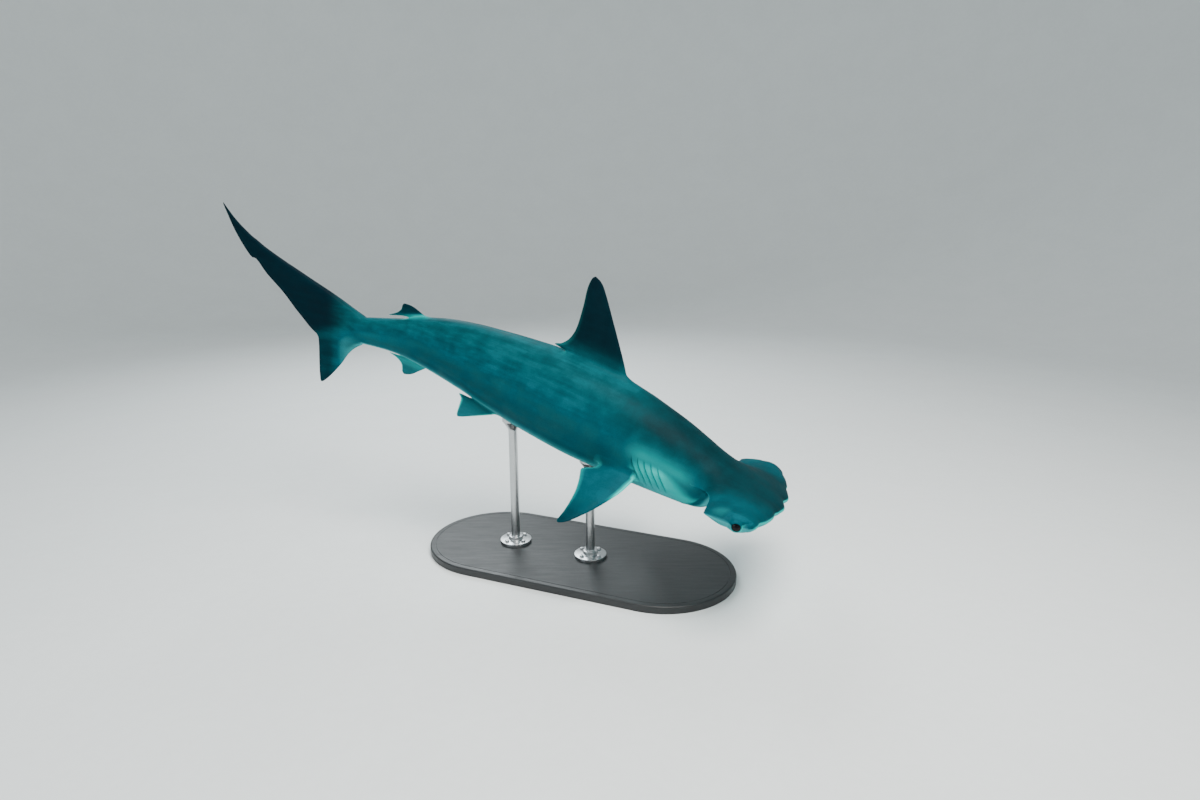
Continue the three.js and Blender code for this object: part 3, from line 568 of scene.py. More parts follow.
def along(table, place, column=1):
    """A smooth curve through the rows of a table: first column in, chosen column out."""
    rows = np.asarray(table, float)
    x = rows[:, 0]
    y = rows[:, column]
    slopes = np.empty_like(x)
    slopes[1:-1] = (y[2:] - y[:-2]) / (x[2:] - x[:-2])
    slopes[0] = (y[1] - y[0]) / (x[1] - x[0])
    slopes[-1] = (y[-1] - y[-2]) / (x[-1] - x[-2])
    at = np.clip(place, x[0], x[-1])
    i = np.clip(np.searchsorted(x, at) - 1, 0, len(x) - 2)
    step = x[i + 1] - x[i]
    share = (at - x[i]) / step
    bump = share * (1 - share)
    eased = mix(y[i], y[i + 1], smooth(0, 1, share))
    return eased + step * bump * ((1 - share) * slopes[i] - share * slopes[i + 1])


def columns_at(table, place):
    """The three columns of a table behind its first, at a place."""
    return [along(table, place, column) for column in (1, 2, 3)]


# The bend


def turn_at(place):
    share = (np.clip(place, STIFF_HEAD, STIFF_TAIL) - SHOULDER) / BEND_REACH
    ahead = np.clip((SHOULDER - place) / (SHOULDER - STIFF_HEAD), 0, 1)
    yaw = share * (SIDE_BEND[0] + share * (SIDE_BEND[1] + share * SIDE_BEND[2])) + HEAD_TURN * ahead
    pitch = np.radians(TAIL_PITCH * share + NECK_PITCH * np.maximum(0, -share))
    return np.radians(yaw), pitch, np.radians(HEAD_TWIST * ahead)


def forward_at(place):
    yaw, pitch, _ = turn_at(place)
    return np.stack([np.cos(yaw) * np.cos(pitch), np.sin(yaw) * np.cos(pitch), np.sin(pitch)], -1)


def spine_points():
    places = np.arange(SPINE_REACH[0], SPINE_REACH[1], SPINE_STEP)
    steps = -forward_at(places[:-1] + SPINE_STEP / 2) * SPINE_STEP
    return places, np.vstack([np.zeros(3), np.cumsum(steps, axis=0)])


SPINE_PLACES, SPINE = spine_points()


def spine_at(place):
    return np.stack([np.interp(place, SPINE_PLACES, SPINE[:, axis]) for axis in range(3)], -1)


def bend(points, total_length):
    """Places on the straight shark, as points of the bent and posed one in metres."""
    points = np.asarray(points, float)
    place = points[..., 0]
    yaw, _, twist = turn_at(place)
    forward = forward_at(place)
    level = np.stack([-np.sin(yaw), np.cos(yaw), np.zeros_like(yaw)], -1)
    upright = np.cross(forward, level)
    cosine = np.cos(twist)[..., None]
    sine = np.sin(twist)[..., None]
    side = level * cosine + upright * sine
    top = upright * cosine - level * sine
    local = spine_at(place) - spine_at(SHOULDER) + side * points[..., 1:2] + top * points[..., 2:3]
    heading = Matrix.Rotation(math.radians(HEADING), 3, "Z")
    pose = heading @ Matrix.Rotation(math.radians(NOSE_DOWN), 3, "Y")
    return local * (total_length / 100) @ np.array(pose).T + np.array(SHOULDER_PLACE)


# The skin of the body


def round_section(back, belly, width, turns):
    """Left and up of a body section. Turns run from 0 to 1: right side, back, left side, belly."""
    middle = mix(belly, back, WIDEST_HEIGHT)
    cosine = np.cos(2 * np.pi * turns)
    sine = np.sin(2 * np.pi * turns)
    above = sine > 0
    power = np.where(above, 2 / BACK_ROUNDNESS, 2 / BELLY_ROUNDNESS)
    reach = np.where(above, back - middle, middle - belly)
    left = -width * np.sign(cosine) * np.abs(cosine) ** power
    up = middle + reach * np.sign(sine) * np.abs(sine) ** power
    return left, up


def round_point(place, turn):
    left, up = round_section(*columns_at(BODY_STATIONS, place), np.asarray(turn, float))
    return np.array([place, float(left), float(up)])


def section_reach(back, belly, up):
    """How far a height is out from a section's middle, from 0 to 1, and the section's power there."""
    middle = mix(belly, back, WIDEST_HEIGHT)
    rise = up - middle
    above = rise > 0
    power = np.where(above, BACK_ROUNDNESS, BELLY_ROUNDNESS)
    return np.abs(rise) / np.where(above, back - middle, middle - belly), power


def outside_body(points):
    """Above 0 outside the body, below 0 inside it."""
    back, belly, width = columns_at(BODY_STATIONS, points[..., 0])
    reach, power = section_reach(back, belly, points[..., 2])
    return (np.abs(points[..., 1]) / width) ** power + reach ** power - 1


def body_rows():
    """Place, rise, slide and slit half height of each ring from the neck to the tail."""
    count = round((TAIL_PLACE - NECK_PLACE) / BODY_STEP)
    plain = np.linspace(NECK_PLACE, TAIL_PLACE, count + 1)
    first = GILL_SLITS[0][0] + GILL_ROWS[0][0]
    last = GILL_SLITS[-1][0] + GILL_ROWS[-1][0]
    margin = BODY_STEP / 2
    plain = plain[(plain < first - margin) | (plain > last + margin)]
    rows = [(place, 0.0, 0.0, 1.0) for place in plain]
    for slit, half_height in GILL_SLITS:
        rows += [(slit + behind, rise, slide, half_height) for behind, rise, slide in GILL_ROWS]
    return np.array(sorted(rows, key=lambda row: row[0]))


def body_grid():
    """Nominal place of each row, the points of the body, and how deep in a gill slit each is, painted as
    shade.
    """
    rows = body_rows()
    places = rows[:, 0:1]
    turns = np.arange(ROUND_COUNT)[None, :] / ROUND_COUNT
    leaning = within(LEAN_ENDS, places)
    place = places + 0 * turns
    for _ in range(LEAN_PASSES):
        left, up = round_section(*columns_at(BODY_STATIONS, place), turns)
        capped = GILL_REACH * np.tanh((up - GILL_HEIGHT) / GILL_REACH)
        lean = GILL_LEAN * capped - GILL_BOW * (1 - (capped / GILL_REACH) ** 2)
        place = places + lean * leaning
    on_flap = 1 - smooth(*SLIT_ENDS, np.abs(up - GILL_HEIGHT) / rows[:, 3:4])
    place = place + rows[:, 2:3] * on_flap
    left = left + rows[:, 1:2] * on_flap * np.sign(left)
    recess = smooth(*RECESS_DEPTHS, -rows[:, 1:2] * on_flap)
    return places[:, 0], np.stack([place, left, up], -1), recess


# The skin of the head


def front_edge(t, across):
    reach = np.abs(across)
    arch = FRONT_MIDDLE + FRONT_SWEEP * (reach / WIDEST_SPAN) ** FRONT_POWER
    notch = sum(depth * bump_at(reach, place, width) for place, depth, width in SCALLOPS)
    fade = np.maximum(0, 1 - t / NECK_PLACE) ** HEAD_FADE
    return (arch + notch * np.exp(-t / SCALLOP_FADE)) * fade


def droop_at(t):
    return mix(*WING_DROOP, np.clip(t / HAMMER_CORNER, 0, 1))


def hammer_rear(reach):
    return between(lambda t: along(HAMMER_SPAN, t) > reach, HAMMER_CORNER, NECK_PLACE, reach)


def together(*heights):
    """Heights that flow into one another."""
    return sum(np.maximum(0, height) ** FLOW_SHARPNESS for height in heights) ** (1 / FLOW_SHARPNESS)


def rounded(reach, width, roundness, peak):
    return np.maximum(0, 1 - (reach / width) ** roundness) ** peak


def head_heights(t, across):
    """Middle of the head, and its heights over and under that, at line t of the loft."""
    reach = np.abs(across)
    span = along(HAMMER_SPAN, t)
    neck_middle = mix(BODY_STATIONS[0][2], BODY_STATIONS[0][1], WIDEST_HEIGHT)
    sink = neck_middle * smooth(NECK_START, NECK_PLACE, t)
    droop = -droop_at(t) * (reach / WIDEST_SPAN) ** 2 * (1 - smooth(DROOP_END, NECK_PLACE, t))
    chord = np.clip(t / hammer_rear(reach), 0, 1)
    rounding = np.sqrt(np.maximum(0, 1 - (reach / span) ** WING_ROUNDNESS))
    lobe = EYE_LOBE * smooth(*EYE_LOBE_REACH, reach)
    wing = (WING_HALF + lobe) * WING_SCALE * np.sqrt(chord) * (1 - chord) ** WING_TAPER
    wing = wing * rounding * (1 - smooth(WING_END, NECK_PLACE, t))
    crown = (along(CROWN_LINE, t) - sink) * rounded(
        reach, along(CROWN_WIDTH, t), BACK_ROUNDNESS, along(CROWN_PEAK, t))
    below = along(SNOUT_BELOW, t) * rounded(reach, SNOUT_BELOW_WIDTH, 2, SNOUT_BELOW_PEAK)
    behind_mouth = np.maximum(0.001, t - MOUTH_FRONT + MOUTH_LEAD)
    mouth_width = MOUTH_HALF_WIDTH * np.sqrt(behind_mouth / MOUTH_DEPTH)
    jaw_width = mix(mouth_width, span, smooth(*THROAT, t))
    jaw_reach = np.where(t > JAW_LINE[0][0], along(JAW_LINE, t) + sink, 0)
    jaw = jaw_reach * rounded(reach, jaw_width, BELLY_ROUNDNESS, along(JAW_PEAK, t))
    over = together(wing, crown * np.minimum(1, rounding * 2))
    under = together(wing, below * rounding, jaw)
    return sink + droop, over, under


def head_rows():
    """Line, rise and slide of each row of the head."""
    front = FRONT_LINES_END * (np.arange(FRONT_LINES) / FRONT_LINES) ** 2
    lines = [front] + [np.arange(*stretch) for stretch in HEAD_STRETCHES]
    rows = [(line, 0.0, 0.0) for line in np.concatenate(lines)]
    rows += [(MOUTH_LINE_T + behind, rise, slide) for behind, rise, slide in MOUTH_ROWS]
    return np.array(sorted(rows, key=lambda row: row[0]))


def mouth_line(reach):
    return MOUTH_FRONT + MOUTH_SETBACK + MOUTH_DEPTH * (reach / MOUTH_HALF_WIDTH) ** 2


def lower_lines(lines, shares):
    """Lines of the underside, bent so that the mouth's rows follow the line of the mouth."""

    def before_mouth(t):
        reach = shares * along(HAMMER_SPAN, t)
        return t + front_edge(t, reach) < mouth_line(np.minimum(reach, MOUTH_HALF_WIDTH))

    at = between(before_mouth, MOUTH_SEARCH, NECK_PLACE, shares)
    reach = shares * along(HAMMER_SPAN, at)
    ended = smooth(*MOUTH_FADE, reach / MOUTH_HALF_WIDTH)
    slope = 2 * MOUTH_DEPTH * np.minimum(reach, MOUTH_HALF_WIDTH) / MOUTH_HALF_WIDTH ** 2
    corner = MOUTH_HALF_WIDTH / along(HAMMER_SPAN, MOUTH_CORNER_T)
    at = mix(at, MOUTH_LINE_T, smooth(corner, MOUTH_SIDES[0], shares))
    widening = mix(np.sqrt(1 + slope ** 2), 1, smooth(corner, MOUTH_SIDES[1], shares))
    known = [0, UNBENT_LINE, MOUTH_LINE_T - MOUTH_BAND, MOUTH_LINE_T + MOUTH_BAND, NECK_PLACE]
    bent = []
    for middle, half in zip(at, MOUTH_BAND * widening):
        moved = [0, UNBENT_LINE, middle - half, middle + half, NECK_PLACE]
        bent.append(np.interp(lines, known, moved))
    return np.stack(bent, -1), 1 - ended


def grid_normals(points):
    lengthwise = np.gradient(points, axis=0)
    crosswise = np.roll(points, -1, axis=1) - np.roll(points, 1, axis=1)
    return unit(np.cross(lengthwise, crosswise))


def nostril_relief(points):
    """How far the nostril and its groove stand out of the underside, and how deep in them a point is,
    painted as shade.
    """
    reach = np.abs(points[..., 1])
    behind = points[..., 0] - front_edge(0.0, reach)
    share = np.clip((NOSTRIL_ACROSS[0] - reach) / (NOSTRIL_ACROSS[0] - NOSTRIL_ACROSS[1]), 0, 1)
    off = np.abs(behind - mix(*NOSTRIL_BEHIND, share)) / mix(*NOSTRIL_HALF, share)
    length = within(NOSTRIL_ENDS, reach)
    slit = length * (1 - smooth(*NOSTRIL_SIDES, off))
    height, place, width = NOSTRIL_RIM
    rim = height * length * bump_at(off, place, width)
    groove = within(GROOVE_ENDS, reach) * bump_at(behind, GROOVE_BEHIND, GROOVE_REACH)
    relief = rim - mix(*NOSTRIL_DEPTH, share) * slit - GROOVE_DEPTH * groove
    return relief, slit + GROOVE_SHADE * groove


def head_grid():
    rows = head_rows()
    half = HEAD_COUNT // 2
    turns = np.arange(half + 1) / HEAD_COUNT
    cosine = np.cos(2 * np.pi * turns)
    lines = rows[:, 0:1] + 0 * cosine[None, :]
    upper_across = -cosine * along(HAMMER_SPAN, lines)
    lower, mouth = lower_lines(rows[:, 0], np.abs(cosine))
    power = mix(1, 2 / BELLY_ROUNDNESS, smooth(NECK_START, NECK_PLACE, lower))
    lower_across = -np.sign(cosine) * np.abs(cosine) ** power * along(HAMMER_SPAN, lower)

    def surface(t, across, upper):
        middle, over, under = head_heights(t, across)
        rise = np.where(upper, over, -under) * (t > 0)
        return np.stack([t + front_edge(t, across), across, middle + rise], -1)

    top = surface(lines, upper_across, True)
    bottom = surface(lower, lower_across, False)
    points = np.concatenate([top, bottom[:, half - 1:0:-1]], axis=1)
    normals = grid_normals(points)
    below = np.zeros(points.shape[:2])
    below[:, half + 1:] = 1
    fade = np.concatenate([0 * mouth, mouth[half - 1:0:-1]])
    nostril, in_nostril = nostril_relief(points)
    rise = rows[:, 1:2] * fade + nostril * below
    # Painted shade deep in the mouth, the nostrils and the groove.
    recess = np.maximum(smooth(*RECESS_DEPTHS, -rows[:, 1:2] * fade), in_nostril * below)
    points = points + normals * rise[..., None]
    points[..., 0] += rows[:, 2:3] * fade
    return rows[:, 0], points, recess


def eye_centre(side):
    up = -droop_at(EYE_LINE) * (EYE_ACROSS / WIDEST_SPAN) ** 2
    return np.array([EYE_PLACE, side * EYE_ACROSS, float(up)])


def eye_axes(side):
    """Out of the eye, ahead and up, on the straight shark."""
    out = unit((-EYE_AHEAD, side, 0))
    ahead = unit(np.array((-1.0, 0, 0)) + out * out[0])
    return out, ahead, np.array((0.0, 0, 1))


# The tail fin: one loft of upright sections, with the lower lobe as a keel


def blade_shape(share):
    rise = np.sqrt(share / BLADE_CREST) * np.exp(0.5 * (1 - share / BLADE_CREST))
    return rise * np.sqrt(np.maximum(0, 1 - share))


def fin_shape(share):
    return FIN_SCALE * np.sqrt(share) * (1 - share) ** FIN_TAPER


def keel_depth(places):
    """Depth of the lower lobe's edge under its root, down its front and up its rear."""
    depths = np.linspace(0, LOWER_LOBE_RIBS[-1][0], KEEL_SAMPLES)
    front, rear = (along(LOWER_LOBE_RIBS, depths, column) for column in (1, 2))
    edge_places = np.concatenate([front, rear[::-1]]) + LOWER_LOBE_ROOT
    edge_depths = np.concatenate([depths, depths[::-1]])
    return np.interp(places, edge_places, edge_depths) * smooth(*KEEL_START, places)


def tail_rows():
    return np.concatenate([np.arange(*stretch) for stretch in TAIL_STRETCHES] + [[LOBE_END]])


def tail_half(place, up):
    """Half thickness of the tail fin at a place and height."""
    top, rear, half = columns_at(UPPER_LOBE, place)
    share = np.clip((top - up) / (top - rear), 0, 1)
    reach, power = section_reach(top, rear, up)
    stem = np.maximum(0, 1 - reach ** power) ** (1 / power)
    upper = mix(stem, blade_shape(share), smooth(TAIL_PLACE, TAIL_PLACE + BLADE_REACH, place)) * half
    depth = along(BODY_STATIONS, LOWER_LOBE_ROOT, 2) - up
    front_place, rear_place, keel_half = columns_at(LOWER_LOBE_RIBS, depth)
    chord = (place - LOWER_LOBE_ROOT - front_place) / (rear_place - front_place)
    keel = fin_shape(np.clip(chord, 0, 1)) * keel_half * smooth(LOWER_LOBE_RIBS[0][0], KEEL_TOP, depth)
    keel = keel * smooth(TAIL_PLACE, TAIL_PLACE + KEEL_REACH, place)
    return (upper ** 3 + keel ** 3) ** (1 / 3)


def tail_grid():
    places = tail_rows()[:, None]
    turns = np.arange(ROUND_COUNT)[None, :] / ROUND_COUNT
    top, rear, half = columns_at(UPPER_LOBE, places)
    root = along(BODY_STATIONS, LOWER_LOBE_ROOT, 2)
    bottom = np.where(places < FORK, np.minimum(rear, root - keel_depth(places)), rear)
    _, stem_up = round_section(top, bottom, half, turns)
    share = (1 - np.sin(2 * np.pi * turns)) / 2
    up = mix(stem_up, mix(top, bottom, share), smooth(TAIL_PLACE, TAIL_PLACE + BLADE_SPREAD, places))
    cosine = np.cos(2 * np.pi * turns)
    edge = np.minimum(1, EDGE_CLOSING * np.abs(cosine)) * (np.abs(cosine) > 1e-6)
    thickness = np.maximum(tail_half(places + 0 * up, up), THINNEST_HALF) * edge
    return np.stack([places + 0 * up, -np.sign(cosine) * thickness, up], -1)


# The skin as one mesh


class RingMesh:
    """Gathers the rings and faces of one closed mesh, and the marks that its points carry."""

    def __init__(self, channels=(), vectors=()):
        self.points = []
        self.faces = []
        self.channels = {name: [] for name in channels}
        self.vectors = {name: [] for name in vectors}
        self.loose = []
        self.count = 0

    def add(self, points, **marks):
        shape = points.shape[:-1]
        first = self.count
        size = int(np.prod(shape))
        self.points.append(points.reshape(-1, 3))
        for name, values in (("loose", self.loose), *self.channels.items()):
            values.append(np.broadcast_to(marks.get(name, 0.0), shape).reshape(-1))
        for name, values in self.vectors.items():
            values.append(marks.get(name, points).reshape(-1, 3))
        self.count += size
        return np.arange(first, first + size).reshape(shape)

    def join(self, upper, lower, kept=None):
        """Faces between two equal rings of points."""
        quads = np.stack([upper, np.roll(upper, -1), np.roll(lower, -1), lower], -1)
        self.faces.append(quads if kept is None else quads[kept])

    def cap(self, ring):
        """Faces between the two sides of a ring, paired from its first point."""
        half = len(ring) // 2
        rows = [[ring[i], ring[i + 1], ring[-i - 1], ring[-i]] for i in range(half)]
        self.faces.append(np.array(rows))

    def stack(self, rings, closed=True):
        """Faces from ring to ring, with the first one closed across, and the last one where asked."""
        self.cap(rings[0])
        for upper, lower in zip(rings, rings[1:]):
            self.join(upper, lower)
        if closed:
            self.cap(rings[-1])

    def grow(self, loop, rings):
        """Carries the mesh from a loop of its points through new rings, closed at the last one."""
        for points, marks in rings:
            ring = self.add(points, **marks)
            self.join(loop, ring)
            loop = ring
        self.cap(loop)

    def relax(self, passes, reach):
        """Evens out the loose points, and those round them less and less. Tight ones, under 0, stay."""
        quads = np.concatenate(self.faces)
        edges = np.concatenate([quads[:, [k, (k + 1) % 4]] for k in range(4)])
        start, end = np.unique(np.sort(edges[edges[:, 0] != edges[:, 1]], axis=1), axis=0).T
        start, end = np.concatenate([start, end]), np.concatenate([end, start])
        given = np.concatenate(self.loose)
        tight = given < 0
        loose = np.maximum(given, 0)
        for _ in range(reach):
            spread = loose.copy()
            np.maximum.at(spread, start, loose[end] - 1 / reach)
            loose = np.where(tight, 0, spread)
        used = loose[start] > 0
        start = start[used]
        end = end[used]
        count = np.maximum(np.bincount(start, minlength=self.count), 1)
        points = np.concatenate(self.points)
        for _ in range(passes):
            sums = [np.bincount(start, points[end, axis], self.count) for axis in range(3)]
            middle = np.stack(sums, -1) / count[:, None]
            points += 0.5 * loose[:, None] * (middle - points)
        self.points = [points]

    def to_mesh(self, name, place=None):
        """The mesh, with its points moved by a function where one is given."""
        quads = np.concatenate(self.faces)
        used, quads = np.unique(quads, return_inverse=True)
        quads = quads.reshape(-1, 4)
        faces = [[v for k, v in enumerate(face) if v not in face[:k]] for face in quads.tolist()]
        faces = [face for face in faces if len(face) > 2]
        points = np.concatenate(self.points)[used]
        if place:
            points = place(points)
        mesh = bpy.data.meshes.new(name)
        mesh.from_pydata(points.tolist(), [], faces)
        for channel, values in self.channels.items():
            attribute = mesh.attributes.new(channel, "FLOAT", "POINT")
            attribute.data.foreach_set("value", np.concatenate(values)[used].astype(np.float32))
        for channel, values in self.vectors.items():
            attribute = mesh.attributes.new(channel, "FLOAT_VECTOR", "POINT")
            attribute.data.foreach_set("vector", np.concatenate(values)[used].astype(np.float32).ravel())
        return mesh


def loop_indices(first, last, centre, half_turn, way, count):
    """Row and column of each grid point round a patch, from the middle of its front, and its side."""
    across = np.arange(half_turn)
    down = np.arange(first, last)
    rows = np.concatenate([np.full(half_turn, first), down, np.full(half_turn + 1, last)])
    columns = np.concatenate([across, np.full(len(down), half_turn), half_turn - np.arange(half_turn + 1)])
    rows = np.concatenate([rows, rows[-2:0:-1]])
    columns = np.concatenate([columns, -columns[-2:0:-1]])
    return rows, (centre + way * columns) % count, way * columns


def patch_border(grid, rows, columns, offsets, half_turn):
    """The points round a patch, and the way into the patch along the skin at each."""
    border = grid[rows, columns]
    towards = (columns - np.sign(offsets)) % grid.shape[1]
    inward = np.zeros_like(border)
    for on_edge, row, column in (
            (np.abs(offsets) == half_turn, rows, towards),
            (rows == rows.min(), rows + 1, columns),
            (rows == rows.max(), rows - 1, columns)):
        row = np.clip(row, 0, len(grid) - 1)
        inward += np.where(on_edge[:, None], unit(grid[row, column] - border), 0)
    return border, unit(inward)


def flow(start, end, leaving, arriving, share):
    """A point on the curve from start to end that leaves and arrives in the given directions."""
    span = np.linalg.norm(end - start, axis=-1, keepdims=True)
    back = 1 - share
    return (start * (1 + 2 * share) * back ** 2 + end * share ** 2 * (3 - 2 * share)
            + leaving * span * share * back ** 2 - arriving * span * share ** 2 * back)


# Fins that grow out of patches of the body


def fin_axes(fin, side):
    mirror = np.array([1, side, 1])
    back = unit(fin["back"])
    out = unit(fin["out"])
    normal = unit(np.cross(back, out))
    root = round_point(fin["place"], fin["turn"])
    return root * mirror, back * mirror, out * mirror, normal * mirror


def fin_ring_shares(cells, half_turn):
    """Share of the chord and side of each point of a fin's ring, from the middle of its nose round."""
    nose = NOSE_SHARE * (np.arange(half_turn) / half_turn) ** 2
    face = mix(NOSE_SHARE, TRAIL_SHARE, np.arange(cells) / cells)
    trail = mix(TRAIL_SHARE, 1, np.arange(half_turn + 1) / half_turn)
    share = np.concatenate([nose, face, trail])
    sign = np.ones_like(share)
    sign[0] = 0
    sign[-1] = 0
    return np.concatenate([share, share[-2:0:-1]]), np.concatenate([sign, -sign[-2:0:-1]])


def fin_points(fin, side, height, share, sign):
    root, back, out, normal = fin_axes(fin, side)
    front, rear, half = columns_at(fin["ribs"], height)
    near_tip = np.clip((height - fin["ribs"][-1][0]) / TIP_ROUND + 1, 0, 1)
    run = mix(front, rear, 0.5 + (share - 0.5) * np.sqrt(TIP_WIDTH - near_tip ** 2))
    closing = np.minimum(1, (1 - share) * TRAIL_CLOSING)
    thick = np.maximum(fin_shape(share) * half, THINNEST_HALF * closing) * sign
    return root + back * run[..., None] + out * height[..., None] + normal * thick[..., None]


def skin_height(fin, side, share):
    """Height at which the fin's middle leaves the body, at each share of the chord."""

    def is_inside(height):
        return outside_body(fin_points(fin, side, height, share, 0 * share)) < 0

    return between(is_inside, -ROOT_SEARCH, ROOT_SEARCH, share)


def fin_marks(name, height, sign, share, tip):
    """What the colour of a fin needs, on its two faces and out to its tip."""
    look = FIN_LOOKS[name]
    reach = np.clip(height / tip, 0, 1)
    stain = 0 * reach + sum(weight * smooth(start, end, reach) for weight, start, end in look["stains"])
    pale, chord, span = look["pale"]
    pale = pale * (1 - smooth(*chord, share)) * (1 - smooth(*span, reach))
    return {
        "shade": np.where(sign > 0, *look["shade"]) + 0 * reach,
        "dusk": stain * np.where(sign > 0, *look.get("stained", (1, 1))),
        "pale": look["rear"] * smooth(*REAR_EDGE, share) + pale,
        "bronze": look.get("bronze", 0) * smooth(*BRONZE_SPAN, reach),
        "fin": smooth(*FIN_ROOT, reach),
        "ray": share,
    }


def grow_fin(skin, name, side, places, grid, indices, shades, removed):
    """Opens a patch of the body and carries its skin out into a fin."""
    fin = FINS[name]
    first, last = (int(np.argmin(np.abs(places - place))) for place in fin["patch"])
    turn = fin["turn"] if side > 0 else (0.5 - fin["turn"]) % 1
    centre = round(turn * ROUND_COUNT)
    half_turn = fin["half_turn"]
    middle_row = grid[(first + last) // 2]
    step = middle_row[(centre + 1) % ROUND_COUNT] - middle_row[centre % ROUND_COUNT]
    way = 1 if np.dot(step, fin_axes(fin, side)[3]) > 0 else -1
    rows, columns, offsets = loop_indices(first, last, centre, half_turn, way, ROUND_COUNT)
    border, inward = patch_border(grid, rows, columns, offsets, half_turn)

    share, sign = fin_ring_shares(last - first, half_turn)
    base = skin_height(fin, side, share) + mix(*fin["lifts"], share ** 2)
    root_ring = fin_points(fin, side, base, share, sign)
    outward = unit(fin_points(fin, side, base + ROOT_STEP, share, sign) - root_ring)
    tip = fin["ribs"][-1][0]
    rings = []
    for v in np.arange(1, FLARE_ROWS + 1) / (FLARE_ROWS + 1):
        marks = fin_marks(name, 0 * base, sign, share, tip)
        marks["shade"] = mix(shades[rows, columns], marks["shade"], v)
        marks["pale"] = marks["pale"] * v
        rings.append((flow(border, root_ring, inward, outward, v), {"loose": 1.0, **marks}))
    steps = (np.arange(fin["rows"] + 1) / fin["rows"]) ** ROW_POWER
    for step_share in np.sort(np.concatenate([steps, 1 - np.array(TIP_ROWS) / tip])):
        height = mix(base, tip, step_share)
        points = fin_points(fin, side, height, share, sign)
        rings.append((points, fin_marks(name, height, sign, share, tip)))
    skin.grow(indices[rows, columns], rings)
    removed[first:last, (centre + np.arange(-half_turn, half_turn)) % ROUND_COUNT] = True


def open_eye(skin, side, lines, grid, indices, shades, removed):
    """Opens a patch at the end of the hammer and carries its skin over the eye as lids and a socket, with
    painted highlights on the lids and painted shade in their crease, at their rims and in the socket.
    """
    first, last = (int(np.argmin(np.abs(lines - line))) for line in EYE_PATCH)
    middle = HEAD_COUNT // 2 if side > 0 else 0
    rows, columns, offsets = loop_indices(first, last, middle, EYE_HALF_TURN, 1, HEAD_COUNT)
    border, inward = patch_border(grid, rows, columns, offsets, EYE_HALF_TURN)
    centre = eye_centre(side)
    out, ahead, above = eye_axes(side)
    seen = np.unwrap(np.arctan2((border - centre) @ above, (border - centre) @ ahead))
    even = seen[0] + np.sign(seen[-1] - seen[0]) * 2 * np.pi * np.arange(len(seen)) / len(seen)
    angle = (seen + even) / 2
    spread = np.cos(angle)[:, None] * ahead + np.sin(angle)[:, None] * above
    outer = EYE_RADIUS + LID_THICKNESS
    inner = EYE_RADIUS + LID_GAP
    roll = (outer - inner) / 2
    rim = inner + roll
    long, high = LID_OPENING
    opening = EYE_RADIUS / rim / np.sqrt((np.cos(angle) / long) ** 2 + (np.sin(angle) / high) ** 2)
    edge = np.arcsin(opening)

    def shell(radius, polar):
        cosine = np.broadcast_to(np.cos(polar), angle.shape)[:, None]
        sine = np.broadcast_to(np.sin(polar), angle.shape)[:, None]
        radius = np.broadcast_to(radius, angle.shape)[:, None]
        return centre + radius * (out * cosine + spread * sine)

    landing = np.maximum(math.radians(LID_LANDING), edge + LID_MARGIN)
    landed = shell(outer, landing)
    arriving = out * np.sin(landing)[:, None] - spread * np.cos(landing)[:, None]
    # Painted highlights on the lids, ahead of the eye and under it.
    gleam = EYE_HIGHLIGHT[0] * smooth(*EYE_HIGHLIGHT[1:], np.cos(angle))
    gleam = gleam + EYE_HIGHLIGHT_ARC[0] * smooth(*EYE_HIGHLIGHT_ARC[1:], -np.sin(angle))
    depth, crease, reach = LID_CREASE
    rings = []
    # Painted shade in the crease round the lids, darker towards their rims, and all through the socket.
    for v in np.arange(1, LID_APPROACH) / LID_APPROACH:
        rings.append((flow(border, landed, inward, arriving, v), depth * bump_at(v, crease, reach), 1.0))
    for v in np.linspace(0, LID_COVER, LID_ROWS):
        swell = LID_SWELL * smooth(*LID_SWELL_REACH, v)
        rings.append((shell(outer + swell, mix(landing, edge, v)), LID_SHADE * v, -1.0))
    for bow in np.radians(LID_BOWS):
        radius = rim + roll * math.cos(bow) + LID_ROLL * (1 + math.cos(bow)) / 2
        rings.append((shell(radius, edge - roll / rim * math.sin(bow)), LID_RIM_SHADE, -1.0))
    for v in np.arange(1, SOCKET_ROWS + 1) / SOCKET_ROWS:
        rings.append((shell(inner, mix(edge, math.radians(SOCKET_BACK), v)), 1.0, -1.0))
    given = shades[rows, columns]
    skin.grow(indices[rows, columns], [
        (points, {"shade": given, "recess": recess, "loose": loose, "pale": gleam * bump_at(i, *GLEAM_RING)})
        for i, (points, recess, loose) in enumerate(rings)])
    removed[first:last, (middle + np.arange(-EYE_HALF_TURN, EYE_HALF_TURN)) % HEAD_COUNT] = True


# How high the pale belly reaches up the flank, as a share of the section's
# height, at places along the body: the lower and upper end of its soft edge.
PALE_EDGE = (
    (13.4, 0.04, 0.3), (17, 0.08, 0.36), (20.5, 0.08, 0.34), (22.3, 0.06, 0.28), (25, 0.04, 0.2),
    (36, 0.04, 0.19), (50, 0.03, 0.17), (60, 0.03, 0.15), (71.5, 0.03, 0.16), (80, 0.1, 0.4),
)
BACK_EDGE = (0.45, 0.97)
# The pale band over the gills, partly the paler skin low on the flank and partly
# painted light where the gills catch the light. Its height up the section and its
# half width each change from one share to another between two places. A painted
# highlight over it has its height above the band, half width, place and half length.
GILL_BAND_HEIGHT = ((0.16, 0.32), (11.5, 18))
GILL_BAND_WIDTH = ((0.07, 0.13), (11.5, 16))
GILL_BAND_ENDS = (9.6, 12.2, 20.4, 22.2)
GILL_BAND_WEIGHT = 0.6
GILL_HIGHLIGHT = (0.07, 0.045, 18.0, 1.7)
GILL_HIGHLIGHT_WEIGHT = 0.4
